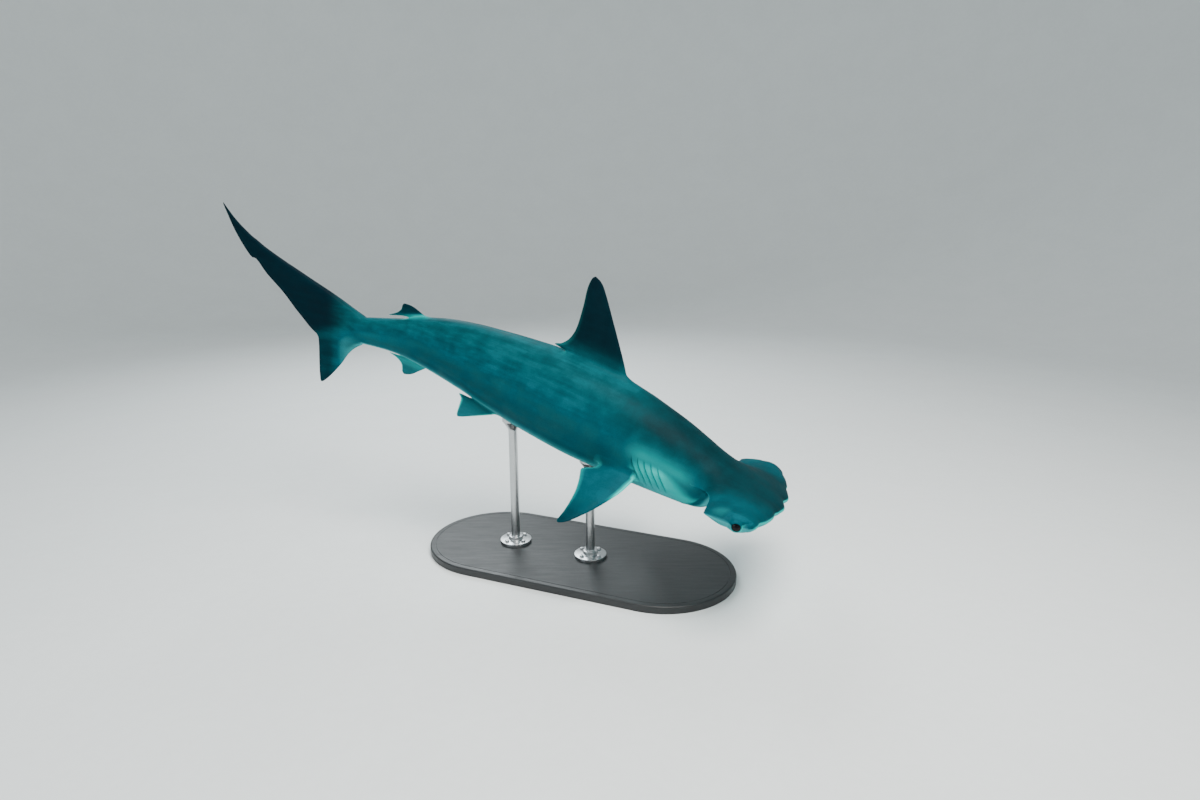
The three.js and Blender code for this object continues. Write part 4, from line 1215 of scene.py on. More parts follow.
# A painted haze of light over the middle of the gills: its height and half width, its soft ends and its
# weight.
GILL_LIGHT_HAZE = (0.5, 0.1)
GILL_LIGHT_HAZE_ENDS = (12, 15.5, 20.5, 24)
GILL_LIGHT_HAZE_WEIGHT = 0.3
# Painted shade low on the flank, where it turns away from the light above, and a
# darker line above the belly, each with its height and half width.
FLANK_SHADE = (0.36, 0.16)
FLANK_SHADE_WEIGHT = 0.38
FLANK_LINE = (0.2, 0.035)
FLANK_LINE_WEIGHT = 0.25
FLANK_ENDS = (21, 27, 58, 70)
NAPE_HEIGHT = (0.5, 0.85)
NAPE_END = (19, 30)
# The tail: where the front of the lower lobe turns dark, the slanting line
# between the lobes, and how dark their stains are and where they set in.
LOWER_FRONT = (74.2, 77.5)
LOWER_SHADES = (0.3, 0.8)
LOBE_DIVIDE = (-3.0, 0.5)
LOBE_DIVIDE_SLOPE = 0.3
LOBE_DIVIDE_PLACE = 76
TAIL_COLOR_START = 75.5
UPPER_DUSK = 1.08
UPPER_DUSK_START = (73.5, 78)
LOWER_DUSK = 0.8
LOWER_DUSK_START = (74.5, 77.5)
LOWER_TIP_DUSK = 0.9
LOWER_TIP = (-7.6, -9.4)
LOWER_TIP_FRONT = ((0.75, 1), (76.4, 78))
TAIL_RAYS = (TAIL_PLACE + 1, TAIL_PLACE + 6)
TAIL_RAY_STEPS = (8, 20)
# The hammer. Heights are round its section, from -1 below over 0 at its front
# edge to 1 on top, and the others are reaches to the side or its lines.
HAMMER_TOP = (-0.05, 0.22)
HAMMER_SHADE = ((0.62, 0.86), (9.5, 3))
# Painted shade on the sides of the jaw: how dark it is, and its lines, heights and reaches.
JAW_PAINTED_SHADE = 0.6
JAW_SHADOW_LINES = (6.9, 7.5)
JAW_SHADOW_HEIGHT = (-0.99, -0.85)
JAW_SHADOW_REACH = (8, 6)
FRONT_PALE = (0.0, 0.2)
FRONT_PALE_HEIGHT = (-0.3, 0.0)
# A painted highlight along the top of each wing behind the eye: its reach and half width, its lines and
# heights, and its weight.
WING_HIGHLIGHT = (12.6, 1.0)
WING_HIGHLIGHT_LINES = (4.6, 6.0, 6.4, 8.2)
WING_HIGHLIGHT_HEIGHT = (0.05, 0.3)
WING_HIGHLIGHT_WEIGHT = 0.1
CROWN_HEIGHT = (0.0, 0.3)
CROWN_BRONZE = ((0.35, 1), (9.5, 4.5))
NECK_SHADE_START = 9.5
NECK_BRONZE_START = 8.5
NECK_PALE = (8.5, 11)


def height_shares(grid):
    lowest = grid[..., 2].min(axis=1, keepdims=True)
    highest = grid[..., 2].max(axis=1, keepdims=True)
    return (grid[..., 2] - lowest) / (highest - lowest)


def body_shades(grid):
    """Darkness of the body: 0 on the belly, about a half on the flank and 1 on the back."""
    share = height_shares(grid)
    low = along(PALE_EDGE, grid[..., 0], 1)
    high = along(PALE_EDGE, grid[..., 0], 2)
    return 0.5 * smooth(low, high, share) + 0.5 * smooth(*BACK_EDGE, share)


def gill_pale_and_light(grid):
    """The pale band that runs from the fin behind the gills forward to the corner of the mouth, part pale
    skin and part painted light, with a painted highlight and a painted haze of light.
    """
    place = grid[..., 0]
    share = height_shares(grid)
    middle = change(*GILL_BAND_HEIGHT, place)
    band = bump_at(share, middle, change(*GILL_BAND_WIDTH, place))
    rise, width, highlight_place, length = GILL_HIGHLIGHT
    painted_highlight = bump_at(share, middle + rise, width) * bump_at(place, highlight_place, length)
    band = GILL_BAND_WEIGHT * band + GILL_HIGHLIGHT_WEIGHT * painted_highlight
    light_haze = GILL_LIGHT_HAZE_WEIGHT * bump_at(share, *GILL_LIGHT_HAZE)
    return np.maximum(band * within(GILL_BAND_ENDS, place), light_haze * within(GILL_LIGHT_HAZE_ENDS, place))


def flank_dusk(grid):
    """Painted shade low on the flank, where it turns away from the light above, with a darker line above the
    belly.
    """
    share = height_shares(grid)
    zone = FLANK_SHADE_WEIGHT * bump_at(share, *FLANK_SHADE) + FLANK_LINE_WEIGHT * bump_at(share, *FLANK_LINE)
    return zone * within(FLANK_ENDS, grid[..., 0])


def nape_bronze(grid):
    """How bronze the body is: all of the nape, less and less towards the dorsal fin and down the flank."""
    return smooth(*NAPE_HEIGHT, height_shares(grid)) * (1 - smooth(*NAPE_END, grid[..., 0]))


def tail_marks(grid):
    """The upper lobe is dark, and the front of the lower lobe is pale down to its dark tip."""
    place = grid[..., 0]
    up = grid[..., 2]
    rear = smooth(*LOWER_FRONT, place)
    upper = smooth(*LOBE_DIVIDE, up + LOBE_DIVIDE_SLOPE * (place - LOBE_DIVIDE_PLACE))
    blade = mix(mix(*LOWER_SHADES, rear), 1.0, upper)
    shade = mix(body_shades(grid), blade, smooth(TAIL_PLACE, TAIL_COLOR_START, place))
    stains = (
        UPPER_DUSK * upper * smooth(*UPPER_DUSK_START, place),
        LOWER_DUSK * (1 - upper) * smooth(*LOWER_DUSK_START, place) * rear,
        LOWER_TIP_DUSK * smooth(*LOWER_TIP, up) * change(*LOWER_TIP_FRONT, place),
    )
    ray = place / TAIL_RAY_STEPS[0] + up / TAIL_RAY_STEPS[1]
    return {"shade": shade, "dusk": np.max(stains, axis=0), "fin": smooth(*TAIL_RAYS, place), "ray": ray}


def head_marks(lines, grid):
    """The top of the hammer is dark, its front edge paler and its underside white, but for painted shade on
    the sides of the jaw. A painted highlight lies on each wing behind the eye, and the painted light over
    the gills reaches the neck.
    """
    height = np.sin(round_angles(HEAD_COUNT))[None, :]
    t = lines[:, None]
    reach = np.abs(grid[..., 1])
    top = smooth(*HAMMER_TOP, height) * change(*HAMMER_SHADE, reach)
    # Painted shade on the sides of the jaw.
    jaw = JAW_PAINTED_SHADE * smooth(*JAW_SHADOW_LINES, t) * smooth(*JAW_SHADOW_HEIGHT, height) * smooth(*JAW_SHADOW_REACH, reach)
    shade = mix(np.maximum(top, jaw), body_shades(grid), smooth(NECK_SHADE_START, NECK_PLACE, t))
    front = (1 - smooth(*FRONT_PALE, t)) * smooth(*FRONT_PALE_HEIGHT, height)
    # A painted highlight on top of the wing, behind the eye.
    wing_highlight = bump_at(reach, *WING_HIGHLIGHT) * within(WING_HIGHLIGHT_LINES, t) * smooth(*WING_HIGHLIGHT_HEIGHT, height)
    pale = np.maximum(front, WING_HIGHLIGHT_WEIGHT * wing_highlight)
    # The pale band and the painted light over the gills reach onto the neck.
    pale = np.maximum(pale, gill_pale_and_light(grid) * smooth(*NECK_PALE, t))
    bronze = smooth(*CROWN_HEIGHT, height) * change(*CROWN_BRONZE, reach)
    bronze = mix(bronze, nape_bronze(grid), smooth(NECK_BRONZE_START, NECK_PLACE, t))
    return {"shade": shade, "pale": pale, "bronze": bronze}


def build_skin_mesh(total_length):
    skin = RingMesh(CHANNELS, ("straight",))
    places, body, gill_recess = body_grid()
    lines, head, head_recess = head_grid()
    tail = tail_grid()
    shades = body_shades(body)
    head_colors = head_marks(lines, head)
    # The pale gill band carries painted light, and the darker low flank is painted shade.
    body_index = skin.add(body, shade=shades, recess=gill_recess, bronze=nape_bronze(body),
                          pale=gill_pale_and_light(body), dusk=flank_dusk(body), loose=-1.0 * (gill_recess > 0))
    tail_index = skin.add(tail, **tail_marks(tail))
    head_index = skin.add(head, recess=head_recess, loose=-1.0 * (head_recess > 0), **head_colors)
    half = HEAD_COUNT // 2
    head_index[0, half + 1:] = head_index[0, 1:half][::-1]

    removed = np.zeros((len(places), ROUND_COUNT), bool)
    opened = np.zeros((len(lines), HEAD_COUNT), bool)
    for name in FIN_LOOKS:
        for side in (1, -1) if name in PAIRED_FINS else (1,):
            grow_fin(skin, name, side, places, body, body_index, shades, removed)
    for side in (1, -1):
        open_eye(skin, side, lines, head, head_index, head_colors["shade"], opened)
    for row in range(len(places) - 1):
        skin.join(body_index[row], body_index[row + 1], ~removed[row])
    for upper, lower in zip((body_index[-1], *tail_index), tail_index):
        skin.join(upper, lower)
    skin.cap(np.roll(tail_index[-1], -ROUND_COUNT // 4))
    for row in range(len(lines) - 1):
        skin.join(head_index[row], head_index[row + 1], ~opened[row])
    # Three faces for each point of the neck, because the head has twice as many.
    neck = body_index[0]
    after = np.roll(neck, -1)
    a, b = head_index[-1, 0::2], head_index[-1, 1::2]
    c = np.roll(a, -1)
    for corners in ((a, b, neck, neck), (b, after, neck, neck), (b, c, after, after)):
        skin.faces.append(np.stack(corners, -1))
    skin.relax(RELAX_PASSES, RELAX_REACH)
    return skin.to_mesh("shark_skin", lambda points: bend(points, total_length))


# Building blocks of the other pieces


def add_piece(mesh, material, sharp_angle=None):
    """The object of a mesh, shaded smoothly and, where an angle is given, sharp past it."""
    if not mesh.polygons:
        raise RuntimeError(f"{mesh.name} has no faces")
    oriented = bmesh.new()
    oriented.from_mesh(mesh)
    bmesh.ops.recalc_face_normals(oriented, faces=oriented.faces)
    oriented.to_mesh(mesh)
    oriented.free()
    mesh.polygons.foreach_set("use_smooth", [True] * len(mesh.polygons))
    if sharp_angle is not None:
        mesh.set_sharp_from_angle(angle=math.radians(sharp_angle))
    mesh.materials.clear()
    mesh.materials.append(material)
    return add_object(mesh.name, mesh)


def add_object(name, mesh):
    piece = bpy.data.objects.new(name, mesh)
    bpy.context.scene.collection.objects.link(piece)
    return piece


def circle_points(radius, height, count, centre=(0, 0)):
    """A level ring of points. Radius and height are numbers, or one for each point."""
    angle = round_angles(count)
    left = centre[0] + radius * np.cos(angle)
    up = centre[1] + radius * np.sin(angle)
    return np.stack([left, up, height + 0 * angle], -1)


def stack_rings(name, rings, closed=True):
    """A mesh through a stack of rings, closed across at the first one, and at the last where asked."""
    shell = RingMesh()
    shell.stack([shell.add(np.asarray(ring, float)) for ring in rings], closed)
    return shell.to_mesh(name)


def quarter_round(radius, steps):
    """Across and up of a rounded edge, from its foot to its top."""
    angle = np.radians(np.linspace(0, 90, steps))
    return radius * (1 - np.cos(angle)), radius * np.sin(angle)


# The eyes


def eye_mesh(name, side, total_length):
    """An eyeball with a slightly domed front, and for each point its place in eye radii."""
    out, ahead, above = eye_axes(side)
    centre = eye_centre(side)
    eye = RingMesh(vectors=("eye_place",))
    angle = round_angles(EYE_TURNS)
    rings = []
    for polar in np.radians(np.concatenate([np.linspace(*stretch, EYE_ROWS) for stretch in EYE_STRETCHES])):
        dome = 1 + CORNEA_DOME * (1 - smooth(0, CORNEA_REACH, np.degrees(polar)))
        forward = np.sin(polar) * np.cos(angle)
        upward = np.sin(polar) * np.sin(angle)
        spread = forward[:, None] * ahead + upward[:, None] * above
        place = np.stack([np.cos(polar) + 0 * angle, forward, upward], -1)
        rings.append(eye.add(centre + EYE_RADIUS * dome * (out * np.cos(polar) + spread), eye_place=place))
    eye.stack(rings)
    return eye.to_mesh(name, lambda points: bend(points, total_length))


# The stand


def stadium_ring(length, width, inset, height):
    """A level ring along a stadium's outline, from the middle of its front end."""
    radius = width / 2 - inset
    reach = length / 2 - width / 2
    quarter = np.linspace(0, np.pi / 2, END_STEPS + 1)
    front = np.stack([reach + radius * np.cos(quarter), radius * np.sin(quarter)], -1)
    straight = np.linspace(reach, -reach, SIDE_STEPS + 1)[1:-1]
    side = np.stack([straight, np.full_like(straight, radius)], -1)
    rear = np.stack([-reach - radius * np.sin(quarter), radius * np.cos(quarter)], -1)
    half = np.concatenate([front, side, rear])
    ring = np.concatenate([half, (half * (1, -1))[-2:0:-1]])
    turn = math.radians(HEADING)
    x = ring[:, 0] * math.cos(turn) - ring[:, 1] * math.sin(turn)
    y = ring[:, 0] * math.sin(turn) + ring[:, 1] * math.cos(turn)
    return np.stack([x, y, np.full_like(x, height)], -1)


def base_mesh(name, settings):
    """The base: a stadium with a softened foot, a rounded top edge and a fine groove inside it."""
    top = settings.base_height
    across, up = quarter_round(settings.edge_radius, BOARD_EDGE_STEPS)
    profile = [(BOARD_FOOT, 0.0), (0.0, BOARD_FOOT)]
    profile += list(zip(across, top - settings.edge_radius + up))
    profile += [(inset, top + rise) for inset, rise in BOARD_GROOVE]
    size = (settings.base_length, settings.base_width)
    return stack_rings(name, [stadium_ring(*size, inset, height) for inset, height in profile])


def rod_centre(name, total_length):
    """Where a rod stands on the floor: under the middle of the belly at its place."""
    point = bend(round_point(ROD_PLACES[name], ON_BELLY), total_length)
    return float(point[0]), float(point[1])


def belly_heights(ring, belly):
    """Height of the belly over each point of a ring."""
    heights = []
    for x, y, _ in ring:
        hit = belly.ray_cast(Vector((x, y, BELLY_PROBE)), Vector((0, 0, 1)))[0]
        if hit is None:
            raise RuntimeError("The rods do not stand under the belly")
        heights.append(hit.z)
    return np.array(heights)


def rings_under(belly, centre, radii, drops):
    """Rings round a centre, each of whose points lies a drop below the belly."""
    rings = []
    for radius, drop in zip(radii, drops):
        heights = belly_heights(circle_points(radius, 0, ROD_TURNS, centre), belly)
        rings.append(circle_points(radius, heights - drop, ROD_TURNS, centre))
    return rings


def rod_mesh(name, settings, centre, belly):
    """A rod turned in one piece with its flange, collar and cup, whose top follows the belly."""
    foot = settings.base_height
    rod = settings.rod_radius
    cup = settings.cup_radius
    under = belly_heights([(*centre, 0)], belly)[0]
    gap = SKIN_GAP + settings.pad_thickness
    top = foot + FLANGE_HEIGHT
    collar_top = top + COLLAR_HEIGHT
    edge = list(zip(*quarter_round(STEEL_EDGE, STEEL_EDGE_STEPS)))
    profile = [(FLANGE_RADIUS - FLANGE_FOOT, foot), (FLANGE_RADIUS, foot + FLANGE_FOOT)]
    profile += [(FLANGE_RADIUS - inset, top - STEEL_EDGE + rise) for inset, rise in edge]
    for angle in np.radians(FILLET_STEPS):
        inset, rise = COLLAR_FILLET * (1 - math.sin(angle)), COLLAR_FILLET * (1 - math.cos(angle))
        profile.append((COLLAR_RADIUS + inset, top + rise))
    profile += [(COLLAR_RADIUS - inset, collar_top - STEEL_EDGE + rise) for inset, rise in edge]
    profile += [(rod + step, collar_top + rise) for step, rise in ROD_STEPS]
    profile += [(rod, mix(top + SHAFT_FOOT, under - CUP_HEIGHT, share)) for share in SHAFT_SHARES]
    for share in np.linspace(0, 1, CUP_STEPS):
        height = mix(under - CUP_HEIGHT, under - CUP_WALL, share)
        profile.append((mix(rod, cup, share ** CUP_POWER), height))
    rings = [circle_points(radius, height, ROD_TURNS, centre) for radius, height in profile]
    wall = belly_heights(circle_points(cup, 0, ROD_TURNS, centre), belly) - gap
    for i, ring in enumerate(rings):
        highest = wall - CUP_RING_GAP * (len(rings) - i)
        ring[:, 2] = np.minimum(ring[:, 2], np.maximum(highest, top))
    rings.append(circle_points(cup, wall - CUP_RIM, ROD_TURNS, centre))
    radii = [cup - inset for inset, _ in CUP_LIP] + [cup * share for share in CUP_SHARES]
    drops = [gap + drop for _, drop in CUP_LIP] + [gap] * len(CUP_SHARES)
    return stack_rings(name, rings + rings_under(belly, centre, radii, drops))


def pad_mesh(name, settings, centre, belly):
    """The pad that lines the cup, close under the belly."""
    edge = settings.cup_radius - PAD_INSET
    low = SKIN_GAP + settings.pad_thickness - PAD_SINK
    corner = PAD_CORNER * PAD_ROUND
    face = [edge * share for share in PAD_SHARES]
    rim = [edge - PAD_ROUND, edge - corner, edge]
    drops = [low] * (len(face) + 1) + [low - corner, low - PAD_ROUND]
    drops += [SKIN_GAP + PAD_ROUND, SKIN_GAP + corner] + [SKIN_GAP] * (len(face) + 1)
    return stack_rings(name, rings_under(belly, centre, face + rim + rim[::-1] + face[::-1], drops))


def bolt_mesh(name, settings):
    """One hexagon bolt on its washer, upright at the origin."""
    corner = settings.bolt_radius
    tall = settings.bolt_height
    angle = round_angles(BOLT_TURNS)
    from_flat = (angle + np.pi / 6) % (np.pi / 3) - np.pi / 6
    flat = corner * math.cos(math.pi / 6)
    hexagon = flat / np.cos(from_flat)
    inner, outer = (corner * share for share in WASHER_SHARES)
    bow = BOLT_BOW * (hexagon - flat) / (corner - flat)
    shoulder = tall - BOLT_CHAMFER
    profile = [
        (inner, 0.0), (outer, WASHER_EDGE), (outer, WASHER_HEIGHT - WASHER_EDGE), (inner, WASHER_HEIGHT),
        (hexagon * BOLT_SEAT[0], WASHER_HEIGHT), (hexagon, WASHER_HEIGHT + BOLT_SEAT[1]),
        (hexagon, shoulder - bow), (flat * BOLT_SHOULDER[0], shoulder + BOLT_SHOULDER[1]),
    ]
    profile += [(flat * share, tall - drop) for share, drop in BOLT_CROWN]
    return stack_rings(name, [circle_points(radius, height, BOLT_TURNS) for radius, height in profile])


def bolt_circles(material):
    """A node tree that sets the bolt it is given in a circle at two places, each turned its own way."""
    tree = bpy.data.node_groups.new("bolt_circles", "GeometryNodeTree")
    for name, kind in (("Bolt", "Geometry"), ("Count", "Int"), ("Circle Radius", "Float"),
                       ("Front Place", "Vector"), ("Rear Place", "Vector"), ("Seed", "Int")):
        tree.interface.new_socket(name, in_out="INPUT", socket_type="NodeSocket" + kind)
    tree.interface.new_socket("Geometry", in_out="OUTPUT", socket_type="NodeSocketGeometry")
    nodes = NodeBuilder(tree)
    given = nodes.add("NodeGroupInput").outputs
    size = {"Vertices": given["Count"], "Radius": given["Circle Radius"]}
    circle = nodes.add("GeometryNodeMeshCircle", size)
    both = nodes.add("GeometryNodeJoinGeometry")
    for place in ("Front Place", "Rear Place"):
        moved = nodes.add("GeometryNodeTransform", {
            "Geometry": circle.outputs[0], "Translation": given[place], "Rotation": BOLT_CIRCLE_TURN})
        tree.links.new(moved.outputs[0], both.inputs[0])
    random = {2: 0.0, 3: 2 * math.pi, "Seed": given["Seed"]}
    turn = nodes.add("FunctionNodeRandomValue", random, data_type="FLOAT")
    around = nodes.add("ShaderNodeCombineXYZ", {"Z": turn.outputs[1]})
    placed = nodes.add("GeometryNodeInstanceOnPoints", {
        "Points": both.outputs[0], "Instance": given["Bolt"], "Rotation": around.outputs[0]})
    real = nodes.add("GeometryNodeRealizeInstances", {"Geometry": placed.outputs[0]})
    painted = nodes.add("GeometryNodeSetMaterial", {"Geometry": real.outputs[0], "Material": material})
    nodes.add("NodeGroupOutput", {"Geometry": painted.outputs[0]})
    return tree


# The stage


def bowl_mesh(name, settings):
    """A round floor that curves up into a wall all round."""
    bow = np.radians(np.linspace(0, 90, BOWL_STEPS))
    bend_radius = settings.floor_bend
    flat = settings.floor_radius - bend_radius
    profile = [(radius, 0.0) for radius in FLOOR_RINGS]
    profile += list(zip(flat + bend_radius * np.sin(bow), bend_radius * (1 - np.cos(bow))))
    profile.append((settings.floor_radius, settings.wall_height))
    rings = [circle_points(radius, height, BOWL_TURNS) for radius, height in profile]
    return stack_rings(name, rings, closed=False)


def add_lights(settings):
    """A wide light overhead and ahead, a fill by the camera and a rim light behind."""
    world = bpy.data.worlds.new("studio")
    world.use_nodes = True
    background = world.node_tree.nodes["Background"]
    background.inputs["Color"].default_value = rgba(settings.sky_color)
    background.inputs["Strength"].default_value = settings.sky_strength
    bpy.context.scene.world = world
    for name, place, size, share, color in LAMPS:
        lamp = bpy.data.lights.new(name, "AREA")
        lamp.shape = "DISK"
        lamp.size = size
        lamp.energy = settings.key_power * share
        lamp.color = color
        light = add_object(name + "_light", lamp)
        light.location = place
        light.rotation_euler = (Vector(place) - Vector(LIT_POINT)).to_track_quat("Z", "Y").to_euler()


# Materials


class NodeBuilder:
    """Adds nodes to a tree, with the settings and the values or links of each."""

    def __init__(self, tree):
        self.tree = tree

    def add(self, kind, inputs=None, **settings):
        node = self.tree.nodes.new(kind)
        for name, value in settings.items():
            setattr(node, name, value)
        self.feed(node, inputs or {})
        return node

    def feed(self, node, inputs):
        for socket, value in inputs.items():
            if isinstance(value, bpy.types.NodeSocket):
                self.tree.links.new(value, node.inputs[socket])
            else:
                node.inputs[socket].default_value = value

    def math(self, operation, first, second=0.0, clamped=False):
        node = self.add("ShaderNodeMath", {0: first, 1: second}, operation=operation, use_clamp=clamped)
        return node.outputs[0]

    def times(self, first, second):
        return self.math("MULTIPLY", first, second)

    def varied(self, value, strength):
        """A value round 0.5, as a strong or weak deviation round 0."""
        return self.times(self.math("SUBTRACT", value, 0.5), strength)

    def range(self, value, low, high, to_low=0.0, to_high=1.0):
        inputs = {"Value": value, "From Min": low, "From Max": high, "To Min": to_low, "To Max": to_high}
        return self.add("ShaderNodeMapRange", inputs, interpolation_type="SMOOTHSTEP").outputs[0]

    def stretched(self, vector, scale):
        return self.add("ShaderNodeMapping", {"Vector": vector, "Scale": scale}).outputs[0]

    def noise(self, vector, scale, detail=3.0, roughness=0.5):
        inputs = {"Vector": vector, "Scale": scale, "Detail": detail, "Roughness": roughness}
        return self.add("ShaderNodeTexNoise", inputs).outputs[0]

    def blend(self, share, first, second, blend_type="MIX"):
        inputs = {0: share, 6: first, 7: second}
        return self.add("ShaderNodeMix", inputs, data_type="RGBA", blend_type=blend_type).outputs[2]

    def attribute(self, name, output="Fac"):
        return self.add("ShaderNodeAttribute", attribute_name=name).outputs[output]

    def bump(self, height, strength, distance, normal=None):
        inputs = {"Height": height, "Strength": strength, "Distance": distance}
        if normal is not None:
            inputs["Normal"] = normal
        return self.add("ShaderNodeBump", inputs).outputs[0]


def start_material(name):
    material = bpy.data.materials.new(name)
    material.use_nodes = True
    material.node_tree.nodes.clear()
    nodes = NodeBuilder(material.node_tree)
    shader = nodes.add("ShaderNodeBsdfPrincipled")
    nodes.add("ShaderNodeOutputMaterial", {"Surface": shader.outputs[0]})
    return material, nodes, shader


def rgba(color):
    return (color[0], color[1], color[2], 1.0)


def effect_group(name, inputs, outputs):
    """An empty node group with named inputs and outputs, and the builder for its nodes."""
    group = bpy.data.node_groups.new(name, "ShaderNodeTree")
    for in_out, sockets in (("INPUT", inputs), ("OUTPUT", outputs)):
        for socket, kind in sockets:
            group.interface.new_socket(socket, in_out=in_out, socket_type="NodeSocket" + kind)
    nodes = NodeBuilder(group)
    return group, nodes, nodes.add("NodeGroupInput").outputs


def grain_group():
    """A fine grain that all the made surfaces share: a value to vary the finish, and a normal."""
    existing = bpy.data.node_groups.get("surface_grain")
    if existing:
        return existing
    group, nodes, given = effect_group(
        "surface_grain", (("Vector", "Vector"), ("Scale", "Float"), ("Depth", "Float")),
        (("Value", "Float"), ("Normal", "Vector")))
    broad = nodes.noise(given["Vector"], given["Scale"], *GRAIN_BROAD)
    fine = nodes.noise(given["Vector"], nodes.times(given["Scale"], GRAIN_FINENESS), *GRAIN_FINE)
    broad, fine = (nodes.times(*pair) for pair in zip((broad, fine), GRAIN_SHARES))
    height = nodes.math("ADD", broad, fine)
    normal = nodes.bump(height, GRAIN_STRENGTH, given["Depth"])
    nodes.add("NodeGroupOutput", {"Value": height, "Normal": normal})
    return group


def grained_material(name, color, accent, roughness, scale, depth,
                     stretch=(1, 1, 1), metallic=0.0, coat=0.0):
    """A material whose colour and gloss vary with the shared grain."""
    material, nodes, shader = start_material(name)
    place = nodes.add("ShaderNodeTexCoord").outputs["Object"]
    vector = nodes.stretched(place, stretch)
    grain = nodes.add("ShaderNodeGroup", node_tree=grain_group())
    nodes.feed(grain, {"Vector": vector, "Scale": scale, "Depth": depth})
    share = nodes.range(grain.outputs["Value"], *GRAIN_COLOR)
    varied = nodes.blend(share, rgba(color), rgba([value * accent for value in color]))
    dull = [roughness * spread for spread in GLOSS_SPREAD]
    nodes.feed(shader, {
        "Base Color": varied, "Roughness": nodes.range(grain.outputs["Value"], *GRAIN_GLOSS, *dull),
        "Normal": grain.outputs["Normal"], "Metallic": metallic, "Coat Weight": coat})
    return material


def hide_group():
    """The blotches, streaks, flecks and fine folds of a shark's hide."""
    names = ("Blotches", "Streaks", "Flecks", "Folds", "Grain")
    outputs = [(name, "Float") for name in names]
    group, nodes, given = effect_group("shark_hide", (("Place", "Vector"),), outputs)
    place = given["Place"]
    blotches = nodes.noise(place, *HIDE_BLOTCHES)
    streaks = nodes.noise(nodes.stretched(place, STREAK_STRETCH), *HIDE_STREAKS)
    # The streaks fade towards the head.
    behind = nodes.range(nodes.add("ShaderNodeSeparateXYZ", {0: place}).outputs[0], *STREAK_FADE)
    streaks = nodes.math("ADD", nodes.varied(streaks, behind), 0.5)
    flecks = nodes.noise(place, *HIDE_FLECKS)
    folds = nodes.noise(nodes.stretched(place, FOLD_STRETCH), *HIDE_FOLDS)
    grain = nodes.noise(place, *HIDE_GRAIN)
    nodes.add("NodeGroupOutput", dict(zip(names, (blotches, streaks, flecks, folds, grain))))
    return group


def skin_material(settings):
    material, nodes, shader = start_material("shark_skin")
    hide = nodes.add("ShaderNodeGroup", node_tree=hide_group())
    nodes.feed(hide, {"Place": nodes.attribute("straight", "Vector")})
    marks = hide.outputs
    # The edge between flank and belly wanders with the blotches and streaks.
    wander = nodes.varied(marks["Blotches"], BLOTCH_WANDER)
    wander = nodes.math("ADD", wander, nodes.varied(marks["Streaks"], STREAK_WANDER))
    shade = nodes.math("ADD", nodes.attribute("shade"), wander, clamped=True)
    ramp = nodes.add("ShaderNodeValToRGB", {"Fac": shade})
    stops = ramp.color_ramp.elements
    stops[0].position = SHADE_STOPS[0]
    stops[1].position = SHADE_STOPS[-1]
    for place in SHADE_STOPS[1:-1]:
        stops.new(place)
    low_flank = mix(np.array(settings.belly_color), np.array(settings.flank_color), LOW_FLANK)
    shades = (settings.belly_color, low_flank, settings.flank_color, settings.back_color)
    for stop, color in zip(stops, shades):
        stop.color = rgba(color)
    color = nodes.blend(nodes.attribute("bronze"), ramp.outputs[0], rgba(settings.crown_color))
    tone = nodes.range(marks["Blotches"], *SKIN_TONES["Blotches"])
    for name in ("Streaks", "Flecks"):
        tone = nodes.times(tone, nodes.range(marks[name], *SKIN_TONES[name]))
    rays = nodes.math("SINE", nodes.times(nodes.attribute("ray"), RAY_COUNT))
    on_fin = nodes.times(rays, nodes.attribute("fin"))
    tone = nodes.times(tone, nodes.range(on_fin, *RAY_TONE))
    tint = nodes.add("ShaderNodeCombineColor", {0: tone, 1: tone, 2: tone}).outputs[0]
    color = nodes.blend(1.0, color, tint, "MULTIPLY")
    # Pale edges, and the painted light and highlights over the gills, by the eyes and on the wings.
    pale = nodes.times(nodes.attribute("pale"), nodes.range(marks["Streaks"], *PALE_STRENGTH))
    color = nodes.blend(pale, color, rgba(settings.pale_and_light_color))
    # Stains of the fin tips, and the painted shade low on the flank.
    dusk = nodes.times(nodes.attribute("dusk"), STAIN_AND_SHADE_STRENGTH)
    color = nodes.blend(dusk, color, rgba(settings.dusk_color))
    # Painted shade deep in the slits, mouth and nostrils, and round the eyes.
    recess = nodes.times(nodes.attribute("recess"), RECESS_SHADE_STRENGTH)
    color = nodes.blend(recess, color, rgba(settings.recess_color))
    dull = [settings.roughness + reach for reach in GLOSS_REACH]
    gloss = nodes.range(marks["Blotches"], *GLOSS_BLOTCHES, *dull)
    folds = nodes.bump(marks["Folds"], *FOLD_BUMP)
    ridges = nodes.bump(on_fin, *RAY_BUMP, folds)
    grain = nodes.bump(marks["Grain"], *GRAIN_BUMP, ridges)
    nodes.feed(shader, {"Base Color": color, "Roughness": gloss, "Normal": grain, **SKIN_SHINE})
    shader.inputs["Coat Weight"].default_value = settings.wet_coat
    return material


